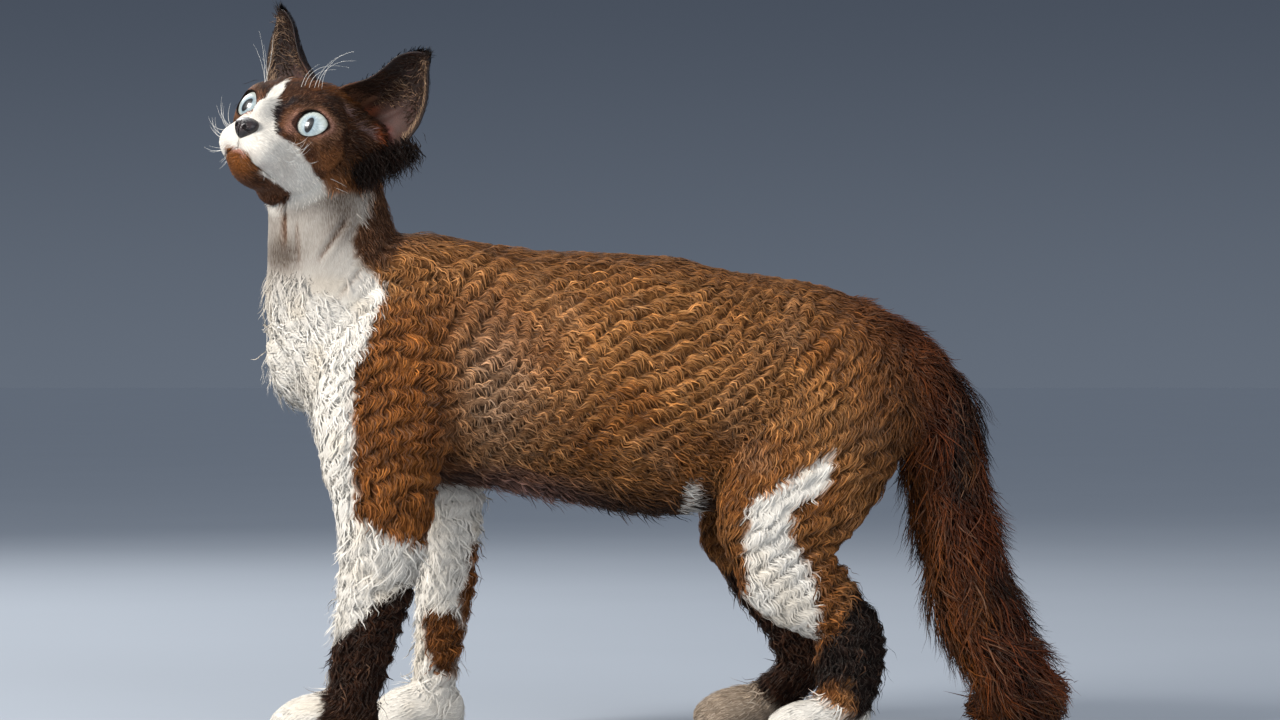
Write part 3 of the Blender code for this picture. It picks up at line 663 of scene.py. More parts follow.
def ball(name: str, centre: Sequence[float], radii: Sequence[float], segments: int = 24) -> bpy.types.Object:
    """Makes a ball stretched to three radii.

    Args:
        name: name of the object.
        centre: its middle in the cat's frame.
        radii: its half sizes.
        segments: points round its waist.

    Returns:
        The ball.
    """
    rings = segments // 2
    sections = []
    turns = FULL_TURN * np.arange(segments) / segments
    for i in range(1, rings):
        fall = math.pi * i / rings
        wide, height = math.sin(fall), -math.cos(fall)
        ring = [np.cos(turns) * wide, np.sin(turns) * wide, np.full(segments, height)]
        sections.append(np.stack(ring, 1) * radii + centre)
    pole = np.array([0, 0, radii[2]], float)
    obj = mesh_object(name, *tube(sections, np.array(centre) - pole, np.array(centre) + pole))
    outward_faces(obj)
    return obj


def outward_faces(obj: bpy.types.Object) -> None:
    """Turns the faces of a closed mesh outwards.

    Args:
        obj: the object that holds the mesh.
    """
    shape = bmesh.new()
    shape.from_mesh(obj.data)
    bmesh.ops.recalc_face_normals(shape, faces=shape.faces)
    shape.to_mesh(obj.data)
    shape.free()


def boolean(obj: bpy.types.Object, other: bpy.types.Object, operation: str) -> None:
    """Applies one Boolean with another object, which is then removed.

    Args:
        obj: the object that is cut or added to.
        other: the object that cuts it or is added.
        operation: the Boolean's own name for what it does.
    """
    modifier = obj.modifiers.new(operation.lower(), "BOOLEAN")
    modifier.operation = operation
    modifier.object = other
    modifier.solver = "MANIFOLD"
    apply_modifiers(obj)
    bpy.data.objects.remove(other)


def melt(pieces: list[bpy.types.Object], voxel: float, smoothing: int) -> bpy.types.Object:
    """Melts overlapping closed pieces into one skin.

    Args:
        pieces: the closed pieces.
        voxel: size of the grid that they are melted on.
        smoothing: rounds of smoothing.

    Returns:
        The first piece, which has the others in it.
    """
    body = pieces[0]
    with bpy.context.temp_override(active_object=body, selected_editable_objects=pieces):
        bpy.ops.object.join()
    remesh = body.modifiers.new("remesh", "REMESH")
    remesh.mode = "VOXEL"
    remesh.voxel_size = voxel * MM
    smooth = body.modifiers.new("smooth", "SMOOTH")
    smooth.factor = 0.5
    smooth.iterations = smoothing
    apply_modifiers(body)
    return body


# ---------------------------------------------------------------- shaders


class Wire:
    """A socket of a tree, which adds the Math nodes that an expression on it needs."""

    def __init__(self, tree: "Tree", socket: bpy.types.NodeSocket) -> None:
        """Wraps one socket of a tree's nodes."""
        self.tree, self.socket = tree, socket

    def _math(self, operation: str, first: Any, second: Any = 0.0) -> "Wire":
        """Adds one Math node."""
        return self.tree.node("ShaderNodeMath", {"operation": operation}, {0: first, 1: second})

    def __add__(self, other: Any) -> "Wire":
        """self + other."""
        return self._math("ADD", self, other)

    def __radd__(self, other: Any) -> "Wire":
        """other + self."""
        return self._math("ADD", other, self)

    def __sub__(self, other: Any) -> "Wire":
        """self - other."""
        return self._math("SUBTRACT", self, other)

    def __rsub__(self, other: Any) -> "Wire":
        """other - self."""
        return self._math("SUBTRACT", other, self)

    def __mul__(self, other: Any) -> "Wire":
        """self * other."""
        return self._math("MULTIPLY", self, other)

    def __rmul__(self, other: Any) -> "Wire":
        """other * self."""
        return self._math("MULTIPLY", other, self)

    def __truediv__(self, other: Any) -> "Wire":
        """self / other."""
        return self._math("DIVIDE", self, other)

    def __pow__(self, other: Any) -> "Wire":
        """self ** other."""
        return self._math("POWER", self, other)

    def rise(self, low: float, high: float) -> "Wire":
        """Rises smoothly from 0 at low to 1 at high."""
        ends = {"Value": self, "From Min": low, "From Max": high}
        return self.tree.node("ShaderNodeMapRange", {"interpolation_type": "SMOOTHSTEP"}, ends)


class Tree:
    """A tree of nodes, which are added with their settings and joined by wires."""

    tree: bpy.types.NodeTree

    def node(self, kind: str, settings: dict[str, Any], sockets: dict[Any, Any], output: Any = 0) -> Wire:
        """Adds a node.

        Args:
            kind: the node's type.
            settings: properties, which are set first.
            sockets: a value or a Wire for each input, by name or number.
            output: the output to give back, by name or number.

        Returns:
            The output.
        """
        made = self.tree.nodes.new(kind)
        for name, value in settings.items():
            setattr(made, name, value)
        for name, value in sockets.items():
            self.join(made.inputs[name], value)
        return Wire(self, made.outputs[output])

    def join(self, socket: bpy.types.NodeSocket, value: Any) -> None:
        """Links a Wire to an input or sets its value."""
        if isinstance(value, Wire):
            self.tree.links.new(value.socket, socket)
        else:
            socket.default_value = value


class Paint(Tree):
    """A material whose nodes are written as expressions."""

    def __init__(self, name: str) -> None:
        """Starts a material with one Principled shader.

        Args:
            name: name of the material.
        """
        self.material = bpy.data.materials.new(name)
        self.material.use_nodes = True
        self.tree = self.material.node_tree
        self.shader = self.tree.nodes["Principled BSDF"]

    def blend(self, share: Any, low: Any, high: Any, way: str = "MIX") -> Wire:
        """Mixes two colours.

        Args:
            share: 0 gives the low colour and 1 the high one.
            low: a colour.
            high: a colour.
            way: the Mix node's blend type.

        Returns:
            The mixed colour.
        """
        colours = {0: share, 6: low, 7: high}
        return self.node("ShaderNodeMix", {"data_type": "RGBA", "blend_type": way}, colours, 2)

    def cloud(self, place: Wire, scale: float, detail: float = 2.0, rough: float = 0.5) -> Wire:
        """Noise on coordinates."""
        values = {"Vector": place, "Scale": scale, "Detail": detail, "Roughness": rough}
        return self.node("ShaderNodeTexNoise", {}, values)

    def stretch(self, place: Wire, scale: Spot) -> Wire:
        """Scales coordinates along each axis."""
        return self.node("ShaderNodeMapping", {}, {"Vector": place, "Scale": scale})

    def stored(self, name: str, output: str = "Vector") -> Wire:
        """Reads an attribute of the mesh."""
        return self.node("ShaderNodeAttribute", {"attribute_name": name}, {}, output)

    def parts(self, vector: Wire) -> list[Wire]:
        """The three numbers of a vector."""
        split = self.node("ShaderNodeSeparateXYZ", {}, {0: vector})
        return [Wire(self, s) for s in split.socket.node.outputs]

    def place(self) -> Wire:
        """Object coordinates, in metres."""
        return self.node("ShaderNodeTexCoord", {}, {}, "Object")

    def relief(self, height: Wire, depth: float, strength: float = 1.0) -> Wire:
        """Bump of a depth in millimetres."""
        values = {"Height": height, "Distance": depth * MM, "Strength": strength}
        return self.node("ShaderNodeBump", {}, values, "Normal")

    def finish(self, **sockets: Any) -> bpy.types.Material:
        """Sets the shader's sockets, named with underscores for spaces.

        Returns:
            The material.
        """
        for name, value in sockets.items():
            self.join(self.shader.inputs[name.replace("_", " ")], value)
        return self.material


def linear(colour: Sequence[float]) -> np.ndarray:
    """Turns screen colours from 0 to 255 into linear light."""
    c = np.array(colour, float) / 255
    return np.where(c <= 0.04045, c / 12.92, ((c + 0.055) / 1.055) ** 2.4)


def rgba(colour: Sequence[float]) -> tuple[float, ...]:
    """A screen colour as a shader takes it."""
    return (*linear(colour), 1.0)


@dataclass(frozen=True)
class FurFinish:
    """Hair: the stored tint, which carries painted shade, with fine lines along the hair and faint painted
    glints on single hairs.
    """

    name: str
    roughness: float = 0.72
    line_depth: float = 0.08

    def material(self) -> bpy.types.Material:
        """Builds the material.

        Returns:
            The material.
        """
        paint = Paint(self.name)
        strand = paint.stored("strand")
        lines = paint.cloud(paint.stretch(strand, (3.2, 0.22, 1.0)), 1.0, 2.0, 0.6)
        fine = paint.cloud(paint.stretch(strand, (9.0, 0.35, 1.0)), 1.0, 1.0)
        tint = paint.stored("tint", "Color")
        _, green, _ = paint.parts(tint)
        depth = lines.rise(0.60, 0.34) * (1 - 0.8 * green.rise(0.15, 0.5))
        darker = paint.blend(depth, tint, paint.blend(1.0, tint, rgba((158, 142, 130)), "MULTIPLY"))
        glint = paint.blend(fine.rise(0.52, 0.75) * 0.10, darker, rgba((236, 226, 212)))
        relief = paint.relief(lines * 0.7 + fine * 0.3, self.line_depth)
        rough = self.roughness - fine * 0.12
        return paint.finish(Base_Color=glint, Roughness=rough, Normal=relief, Specular_IOR_Level=0.05)


@dataclass(frozen=True)
class SkinFinish:
    """Skin under the coat: the stored tint with down that follows the lie."""

    name: str = "downy_skin"

    def material(self) -> bpy.types.Material:
        """Builds the material.

        Returns:
            The material.
        """
        paint = Paint(self.name)
        strand = paint.stored("strand")
        lines = paint.cloud(strand, 2.0, 3.0, 0.6)
        soft = paint.cloud(strand, 0.6, 2.0)
        tint = paint.stored("tint", "Color")
        _, green, _ = paint.parts(tint)
        dark = paint.blend(1.0, tint, rgba((150, 130, 116)), "MULTIPLY")
        base = paint.blend(lines.rise(0.66, 0.34) * (1 - 0.8 * green.rise(0.1, 0.4)), tint, dark)
        relief = paint.relief(lines * 0.75 + soft * 0.25, 0.3)
        rough = 0.78 - soft * 0.1
        return paint.finish(Base_Color=base, Roughness=rough, Normal=relief, Specular_IOR_Level=0.08)


# ---------------------------------------------------------------- markings


class Tone(Enum):
    """Colours of the coat, from 0 to 255."""

    WHITE = (230, 223, 211)
    CREAM = (218, 203, 180)
    VELVET = (128, 117, 107)
    CARAMEL = (158, 106, 58)
    ORANGE = (132, 76, 27)
    ASH = (148, 124, 102)
    BACK = (116, 76, 42)
    NAPE = (96, 64, 42)
    UMBER = (50, 27, 13)
    TAIL = (94, 45, 20)
    SEAL = (30, 17, 11)
    MASK = (100, 64, 41)
    BROW = (66, 41, 27)
    CHARCOAL = (46, 41, 42)
    CHIN = (126, 76, 34)
    TAN = (140, 102, 76)
    PINK = (196, 146, 130)
    LILAC = (142, 115, 110)
    RIDGE = (166, 88, 50)
    CHEEK = (150, 98, 58)
    FLESH = (112, 78, 68)
    BEIGE = (170, 152, 132)

    def light(self) -> np.ndarray:
        """The colour as linear light."""
        return linear(self.value)


@dataclass(frozen=True)
class Patch:
    """A patch of one tone drawn from the side, on some limbs."""

    tone: Tone
    limbs: tuple[str, ...]
    outline: Outline
    feather: float = 3.5


PATCHES = [
    Patch(
        Tone.NAPE,
        ("neck", "torso"),
        [(-156, 321), (-156, 303), (-160, 286), (-168, 267), (-161, 260), (-148, 257), (-140, 272),
         (-140, 321)],
        6,
    ),
    Patch(
        Tone.WHITE,
        ("neck", "torso", "fore_left"),
        [(-254, 337), (-156, 321), (-156, 303), (-160, 286), (-168, 267), (-149, 247), (-150, 240),
         (-156, 226), (-164, 205), (-166, 186), (-165, 164), (-164, 126), (-158, 119), (-145, 112),
         (-132, 106), (-126, 108), (-121, 121), (-116, 129), (-87, 121), (-87, 78), (-141, 2), (-254, 2)],
    ),
    Patch(
        Tone.CHEEK,
        ("neck",),
        [(-186, 330), (-186, 302), (-178, 300), (-167, 298.5), (-156, 300), (-150, 306), (-148, 330)],
        5,
    ),
    Patch(
        Tone.WHITE,
        ("paw_fore_left", "paw_fore_right", "fore_right", "paw_hind_left"),
        [(-300, -10), (140, -10), (140, 170), (-300, 170)],
    ),
    Patch(
        Tone.UMBER,
        ("fore_left", "paw_fore_left"),
        [(-132, 89), (-140, 85), (-153, 77), (-161, 69), (-170, 61), (-178, 55), (-184, 48), (-180, 43),
         (-179, 36), (-182, 27), (-183, 19), (-185, 13), (-181, -1), (-143, -1), (-149, 23), (-141, 45),
         (-125, 78), (-119, 91)],
    ),
    Patch(
        Tone.CHIN,
        ("fore_right",),
        [(-106, 104), (-92, 110), (-89, 51), (-109, 56), (-111, 65), (-111, 74), (-107, 89)],
    ),
    Patch(
        Tone.CHIN,
        ("fore_right", "paw_fore_right"),
        [(-130, 70), (-115, 68), (-108, 55), (-107, 48), (-111, 40), (-116, 32), (-124, 36), (-129, 47),
         (-131, 58)],
    ),
    Patch(
        Tone.WHITE,
        ("thigh_left", "shank_left", "hock_left", "torso", "thigh_right"),
        [(94, 157), (92, 145), (88, 136), (76, 134), (71, 124), (71, 110), (79, 96), (82, 84), (83, 67),
         (82, 48), (72, 54), (65, 63), (52, 73), (44, 79), (46, 89), (47, 98), (44, 112), (49, 121),
         (47, 127), (59, 137), (71, 145), (82, 153)],
    ),
    Patch(
        Tone.WHITE,
        ("torso", "thigh_left", "thigh_right"),
        [(13, 140), (21, 144), (19, 132), (20, 120), (18, 110), (17, 102), (12, 114)],
        2,
    ),
    Patch(
        Tone.SEAL,
        ("shank_left", "hock_left", "thigh_left"),
        [(108, 88), (120, 90), (134, 82), (134, 56), (121, 23), (114, -1), (104, -1), (104, 23), (103, 33),
         (93, 33), (82, 29), (84, 42), (87, 53), (98, 66)],
        5,
    ),
    Patch(
        Tone.UMBER,
        ("shank_right", "hock_right"),
        [(0, 104), (140, 104), (140, -10), (0, -10)],
    ),
    Patch(
        Tone.BEIGE,
        ("hock_right", "paw_hind_right"),
        [(-10, 31), (51, 28), (63, 20), (78, -7), (-10, -7)],
    ),
]

# Outlines on the head, as degrees to the left and up from the middle of the skull.
BLAZE: Outline = [
    (-44, 67), (-31, 62), (-8, 50), (-1, 39), (9, 21), (12, 9), (16, 1), (22, -5), (31, -9), (44, -11),
    (54, -14), (63, -20), (85, -31), (100, -33), (135, -42), (180, -52), (180, -90), (-180, -90),
    (-180, -52), (-135, -42), (-100, -33), (-85, -31), (-63, -20), (-54, -14), (-44, -9), (-34, -3),
    (-28, 4), (-22, 14), (-21, 28), (-25, 38), (-29, 50),
]
# The brown of the chin and throat, from below: forwards and to the left.
CHIN: Outline = [
    (34, -6), (35, 0), (34, 5), (29, 7.5), (25, 10.5), (20, 13), (15, 14.6), (8, 16.4), (1, 17.6),
    (-5, 17.5), (-10, 13), (-12, 0), (-10, -13), (-5, -17.5), (1, -17.6), (8, -16.4), (15, -14.6),
    (20, -13), (25, -10.5), (29, -8.5),
]
# Folds of the neck from the side: both ends, and depth in millimetres.
NECK_FOLDS = [
    ((-168, 287), (-187, 259), 1.3),
    ((-205, 293), (-204, 268), 1.1),
    ((-198, 287), (-196, 254), 0.7),
    ((-158, 262), (-178, 236), 0.6),
]


@dataclass(frozen=True)
class Mark:
    """A soft mark of one tone along a path on both sides of the head."""

    tone: Tone
    radius: float
    strength: float
    path: tuple[Spot, ...]


MARKS = [
    Mark(Tone.SEAL, 8, 0.6, ((0, 35, 9), (-5, 36, 6), (-19, 32, 0), (-20, 33, -8), (-18, 33, -15))),
    Mark(Tone.SEAL, 4.5, 0.8, ((12, 13, 12), (10, 22, 12.5), (4.5, 28, 14.5), (3, 34, 9))),
    Mark(Tone.SEAL, 5, 0.6, ((14, 18, -7), (9, 27, -10), (2, 33, -8))),
    Mark(Tone.ORANGE, 9, 0.75, ((-1, 8, 24), (-8, 13, 25), (-16, 13, 27))),
    Mark(Tone.CHEEK, 8, 0.85, ((-12, 38, -17), (-16, 35, -24), (-24, 34, -20))),
    Mark(Tone.BROW, 4, 0.6, ((-10, 24, 18), (-18, 30, 8), (-26, 35, 1))),
    Mark(Tone.TAN, 2.8, 0.6, ((-16, 11, 27), (-14, 21, 20.6), (-17, 26, 16.5))),
    Mark(Tone.LILAC, 2.6, 0.8, ((-11, 24, 19), (-17, 26.5, 16), (-23, 30.5, 12.8), (-29, 36, 10.5))),
    Mark(Tone.RIDGE, 3.4, 0.8, ((-32, 34, 16), (-32, 37, 13), (-33.5, 39, 9.7))),
    Mark(Tone.CHARCOAL, 4.2, 0.95, ((13, 9, 10), (18.8, 6.5, 5), (20.3, 9, -2.8), (21.5, 14, -8.3))),
    Mark(Tone.PINK, 2.4, 0.5, ((15.8, 16, -1.7), (17.9, 15.5, -4.3), (17.6, 18, -6.5))),
]


def ragged(points: np.ndarray, size: float, seed: int) -> np.ndarray:
    """Two noises of one size, with this seed and the next, as shifts in a plane."""
    return np.stack([noise(points, size, seed), noise(points, size, seed + 1)], 1)


def paleness(tint: np.ndarray) -> np.ndarray:
    """How far linear colours count as white hair, from 0 to 1."""
    return step(0.12, 0.45, tint[:, 1])


def towards(share: np.ndarray, low: np.ndarray, tone: Tone) -> np.ndarray:
    """Mixes colours towards a tone."""
    return low + np.clip(share, 0, 1)[:, None] * (tone.light() - low)


class Hide:
    """Where each point of the cat is, how its hair lies there and what colour it has."""

    def __init__(self) -> None:
        """Gathers the rows of all limbs."""
        rows = [smooth_rows(limb, 4) for limb in LIMBS.values()]
        self.names = list(LIMBS)
        self.limb = np.concatenate([np.full(len(r), i) for i, r in enumerate(rows)])
        self.axes = [np.concatenate(part) for part in zip(*(ring_frames(r) for r in rows))]
        self.rows = np.concatenate(rows)
        steps = [np.linalg.norm(np.diff(r[:, :3], axis=0), axis=1) for r in rows]
        self.runs = np.concatenate([np.concatenate([[0.0], np.cumsum(s)]) for s in steps])

    def read(self, points: np.ndarray, normals: np.ndarray) -> "Survey":
        """Surveys points of the skin.

        Args:
            points: places on the skin.
            normals: outward directions there.

        Returns:
            What is known of each point.
        """
        count = len(points)
        best, nearest = np.full(count, np.inf), np.zeros(count, int)
        flow = np.zeros((count, 3))
        reaches = np.full((len(self.names), count), np.inf)
        places = np.zeros((len(self.names), count, 3))
        for i, row in enumerate(self.rows):
            offset = points - row[:3]
            run, wide, deep = (offset @ axis[i] for axis in self.axes)
            reach = np.sqrt((wide / row[3]) ** 2 + (deep / row[4]) ** 2 + (run / ROW_REACH) ** 2)
            closer = reach < best
            best[closer], nearest[closer] = reach[closer], i
            flow += self.axes[0][i] * (np.maximum(reach, 0.2) ** -8.0)[:, None]
            limb = self.limb[i]
            nearer = reach < reaches[limb]
            places[limb, nearer] = np.stack([wide, deep, self.runs[i] + run], 1)[nearer]
            reaches[limb] = np.minimum(reaches[limb], reach)
        weights = np.maximum(reaches, 0.2) ** -10.0
        weights /= weights.sum(0)
        local = HEAD.inward(points)
        head = 1 - step(*HEAD_EDGE, HEAD.field(local))
        head *= step(*HEAD_REAR, local[:, 0])
        grain = (places * weights[:, :, None]).sum(0) * (1 - head)[:, None]
        grain = grain + local[:, (1, 2, 0)] * head[:, None]
        return Survey(self, points, normals, nearest, weights.T, unit(flow), local, head, grain)


TRUNK_WAY = np.array([0.70, 0, -0.71])  # how the wave travels on the trunk and tail
# Where the wave enters each other limb, and how it travels on it.
SLANTS: dict[str, tuple[Spot, Spot]] = {
    "neck": ((-178, 0, 260), (0.25, 0, -0.97)),
    "fore_left": ((-140, -32, 200), (0.35, 0, -0.94)),
    "fore_right": ((-130, 32, 200), (0.35, 0, -0.94)),
    "thigh_left": ((98, -25, 190), (0.45, 0, -0.89)),
    "thigh_right": ((96, 25, 190), (0.45, 0, -0.89)),
    "shank_left": ((60, -33, 98), (0.6, 0, -0.8)),
    "shank_right": ((58, 33, 92), (0.6, 0, -0.8)),
    "hock_left": ((104, -33, 64), (-0.1, 0, -1.0)),
    "hock_right": ((86, 33, 44), (-0.7, 0, -0.7)),
    "paw_fore_left": ((-166, -34, 25), (-0.5, 0, -0.85)),
    "paw_fore_right": ((-125, 33, 25), (-0.5, 0, -0.85)),
    "paw_hind_left": ((98, -33, 15), (-0.7, 0, -0.7)),
    "paw_hind_right": ((50, 33, 15), (-0.7, 0, -0.7)),
}
# The limb that it comes from where that isn't the trunk.
ABOVE = {"shank": "thigh", "hock": "shank", "paw_fore": "fore", "paw_hind": "hock"}


@dataclass
class Survey:
    """What is known of a set of points on the skin."""

    hide: Hide
    points: np.ndarray
    normals: np.ndarray
    nearest: np.ndarray
    weights: np.ndarray
    flow: np.ndarray
    local: np.ndarray
    head: np.ndarray
    grain: np.ndarray  # places across, deep and along each limb
    waved: np.ndarray | None = None  # normals of the skin once the wave is pressed into it

    def share(self, *names: str) -> np.ndarray:
        """How much of each point belongs to limbs whose names start with these."""
        limbs = [i for start in names for i, name in enumerate(self.hide.names) if name.startswith(start)]
        return sum(self.weights[:, i] for i in limbs)

    def lie(self) -> np.ndarray:
        """Combs the coat.

        Returns:
            The unit direction of the hair along the skin at each point.
        """
        droop = np.array([0, 0, -0.35]) * (1 - self.share("tail"))[:, None]
        body = self.flow + droop * (1 - self.head)[:, None]
        turn = HEAD.turn()
        back = np.zeros_like(self.points)
        back[:, 0] = -1
        muzzle = step(8, 18, self.local[:, 0]) * step(2, -6, self.local[:, 2])
        back[:, 1] += 1.4 * muzzle * np.sign(self.local[:, 1])
        back[:, 2] -= 0.5 * muzzle
        cheek = step(0, -14, self.local[:, 2]) * (1 - muzzle)
        back[:, 2] -= 0.45 * cheek
        return along(body * (1 - self.head)[:, None] + (back @ turn.T) * self.head[:, None], self.normals)

    def lonlat(self) -> np.ndarray:
        """Finds where points lie on the head.

        Returns:
            Degrees to the left and up from the middle of the skull.
        """
        offset = self.local - np.array(SKULL_CENTRE)
        level = np.hypot(offset[:, 0], offset[:, 1])
        turns = np.arctan2(offset[:, 1], offset[:, 0]), np.arctan2(offset[:, 2], level)
        return np.degrees(np.stack(turns, 1))

    def body_tint(self) -> np.ndarray:
        """Colours the neck, body, legs and tail.

        Returns:
            A linear colour for each point.
        """
        p = self.points
        flat = p[:, (0, 2)] + 2.2 * ragged(p, 7, 1) + 1.5 * ragged(p, 2.5, 3)
        tint = np.tile(Tone.CARAMEL.light(), (len(p), 1))
        patchy = noise(p, 26, 5)
        tint = towards(0.55 * step(0.1, 0.8, patchy), tint, Tone.ORANGE)
        ash = np.exp(-(((p[:, 0] + 92) / 26) ** 2) - ((p[:, 2] - 190) / 42) ** 2)
        tint = towards(0.6 * ash + 0.2 * step(0.1, 0.9, noise(p, 17, 6)), tint, Tone.ASH)
        tint = tint * np.exp(0.20 * noise(p, 24, 47) - 0.25 * step(0.2, 0.9, noise(p, 11, 49)))[:, None]
        low = step(172, 132, p[:, 2]) * self.share("torso")
        tint = towards(0.45 * low, tint, Tone.BACK)
        shoulder = step(-100, -124, p[:, 0]) * step(246, 222, p[:, 2])
        tint = towards(0.8 * shoulder, tint, Tone.ORANGE)
        tint = tint * np.exp(shoulder * (0.42 * noise(p, 6, 52) - 0.08))[:, None]
        tint = towards(0.75 * step(0.45, 0.95, self.normals[:, 2]) * step(140, 200, p[:, 2]), tint, Tone.BACK)
        rump = step(84, 146, p[:, 0] + 0.35 * (p[:, 2] - 200))
        tint = towards(0.9 * rump, tint, Tone.TAIL)
        thigh = self.share("thigh")
        tint = towards(0.3 * thigh * step(150, 120, p[:, 2]), tint, Tone.ORANGE)
        tint = towards(0.5 * thigh * step(100, 122, p[:, 0]), tint, Tone.BACK)
        # The underside that faces down is darkened to umber: partly its own darker hair, partly painted shade
        # under the body.
        belly = step(-0.55, -0.9, self.normals[:, 2]) * self.share("torso")
        tint = towards(0.9 * belly, tint, Tone.UMBER)
        bare = belly * np.exp(-(((p[:, 0] + 75) / 30) ** 2))
        tint = towards(0.55 * bare, tint, Tone.PINK)
        tail = self.share("tail")
        tint = towards(tail, tint, Tone.TAIL)
        tint = towards(tail * (0.55 + 0.8 * noise(p * (1, 1, 0.6), 11, 7)), tint, Tone.SEAL)
        # Painted highlights: on the tail, its side that faces forwards and some streaks along it are
        # lightened towards orange.
        streak = step(0.1, 0.7, noise(p * (1.2, 1, 0.5), 8, 51))
        lit = 0.25 * step(0.2, -0.7, self.normals[:, 0]) + 0.35 * streak
        tint = towards(tail * lit * step(250, 200, p[:, 2]), tint, Tone.ORANGE)
        hind = self.share("shank_left", "hock_left")
        tint = towards(0.8 * hind * step(104, 92, p[:, 0]), tint, Tone.CHIN)
        for patch in PATCHES:
            owned = step(0.15, 0.6, self.share(*patch.limbs))
            near = edge_distance(patch.outline, flat)
            tint = towards(owned * step(-patch.feather / 2, patch.feather / 2, near), tint, patch.tone)
        white = step(0.2, 0.45, tint[:, 2])
        tint = towards(0.5 * white * step(-0.1, 0.8, noise(p, 12, 8)), tint, Tone.CREAM)
        throat = self.share("neck") * white * step(226, 268, p[:, 2]) * (1 - 0.5 * step(-10, 15, p[:, 1]))
        tint = towards(throat * (0.8 + 0.2 * noise(p, 16, 9)), tint, Tone.VELVET)
        fold = self.folds()
        tint = towards(0.5 * np.clip(-fold, 0, 1) * (tint[:, 2] > 0.1), tint, Tone.TAN)
        crease = np.exp(-(((p[:, 0] + 205) / 1.4) ** 2) - ((p[:, 2] - 281) / 9) ** 2) * (p[:, 1] < 0)
        return towards(0.8 * crease, tint, Tone.TAN)

    def folds(self) -> np.ndarray:
        """Presses the folds of the loose skin into the neck's left side.

        Returns:
            Their height at each point, in millimetres.
        """
        p = self.points
        total = np.zeros(len(p))
        for start, end, depth in NECK_FOLDS:
            share, far = beside(p[:, (0, 2)], np.array(start, float), np.array(end, float))
            ends = step(0.0, 0.25, share) * step(1.0, 0.7, share)
            total += depth * ends * (0.5 * np.exp(-(((far - 3.2) / 2.0) ** 2)) - np.exp(-((far / 1.1) ** 2)))
        return total * (p[:, 1] < 0) * (1 - self.head)

    def head_tint(self) -> np.ndarray:
        """Colours the head.

        Returns:
            A linear colour for each point.
        """
        q = self.local
        turns = self.lonlat() + 1.3 * ragged(q, 3.4, 11) + 1.2 * ragged(q, 1.3, 13)
        tint = np.tile(Tone.MASK.light(), (len(q), 1))
        tint = towards(0.75 * step(0.0, 0.6, noise(q * (0.3, 1, 1), 2.6, 15)), tint, Tone.BROW)
        tint = towards(0.3 * step(0.0, 0.6, noise(q * (0.3, 1, 1), 2.2, 16)), tint, Tone.SEAL)
        brow = step(8, 13, q[:, 2]) * step(-16, -6, q[:, 0])
        tint = towards(0.25 * brow, tint, Tone.BROW)
        under = step(-2, -14, q[:, 2]) * step(12, 24, np.abs(q[:, 1]))
        tint = tint * np.exp(0.3 * under - 0.4 * step(2, 16, q[:, 2]))[:, None]
        crown = step(-8, -20, q[:, 0]) * step(18, 26, q[:, 2])
        tint = towards(0.6 * crown * step(-0.3, 0.4, noise(q, 7, 20)), tint, Tone.ORANGE)
        cheek = step(-2, -8, q[:, 2]) * step(30, 18, q[:, 0])
        tint = towards(0.7 * cheek * step(-0.1, 0.4, noise(q * (0.4, 1, 1), 5, 17)), tint, Tone.CHEEK)
        rear = step(-20, -42, q[:, 0])
        tint = towards(0.5 * rear, tint, Tone.SEAL)
        folded = q * (1, 0, 1) + np.abs(q) * (0, 1, 0)
        for mark in MARKS:
            far = line_distance(folded, mark.path) + 1.4 * noise(q * (0.5, 1, 1), 2.4, 27)
            tint = towards(mark.strength * step(mark.radius, 0.35 * mark.radius, far), tint, mark.tone)
        blaze = edge_distance(BLAZE, turns)
        tint = towards(step(-1.2, 1.2, blaze), tint, Tone.WHITE)
        pad = step(-18, -27, q[:, 2]) * step(0, 10, q[:, 0]) * (tint[:, 2] > 0.3)
        tint = towards(pad * (0.08 + 0.25 * noise(q, 3.5, 50)), tint, Tone.LILAC)
        below = edge_distance(CHIN, q[:, :2] + 1.2 * ragged(q, 3, 18))
        chin = step(-0.8, 0.8, below) * step(-24.5, -26.5, q[:, 2] + 0.12 * (30 - q[:, 0]))
        brown = towards(step(27, 17, q[:, 0]), np.tile(Tone.CHIN.light(), (len(q), 1)), Tone.MASK)
        brown = towards(0.6 * step(0.1, 0.6, noise(q, 2.4, 25)), brown, Tone.SEAL)
        tint += chin[:, None] * (brown - tint)
        reach, aside, ahead = LIDS.reach(q)
        near = step(0, 4, ahead)
        lateral = step(0.0, 0.9, aside)
        duct = step(0.55, 0.95, -aside) * step(1.65, 1.1, reach)
        tint = towards(near * (0.25 + 0.55 * lateral) * step(1.75, 1.25, reach), tint, Tone.TAN)
        tint = towards(0.55 * near * lateral * step(1.4, 1.15, reach), tint, Tone.PINK)
        tint = towards(0.35 * near * duct, tint, Tone.PINK)
        rim = near * step(1.10, 1.04, reach)
        tint = towards(rim, tint, Tone.SEAL)
        tint = towards(rim * step(0.55, 0.85, -aside), tint, Tone.FLESH)
        lip = step(1.6, 0.8, np.abs(q[:, 2] + 26.3 + 0.18 * np.abs(q[:, 1]))) * step(26, 29, q[:, 0])
        tint = towards(0.8 * lip * step(6, 3, np.abs(q[:, 1])), tint, Tone.PINK)
        return tint

    def tint(self) -> np.ndarray:
        """Linear colours of all points."""
        return self.body_tint() * (1 - self.head)[:, None] + self.head_tint() * self.head[:, None]

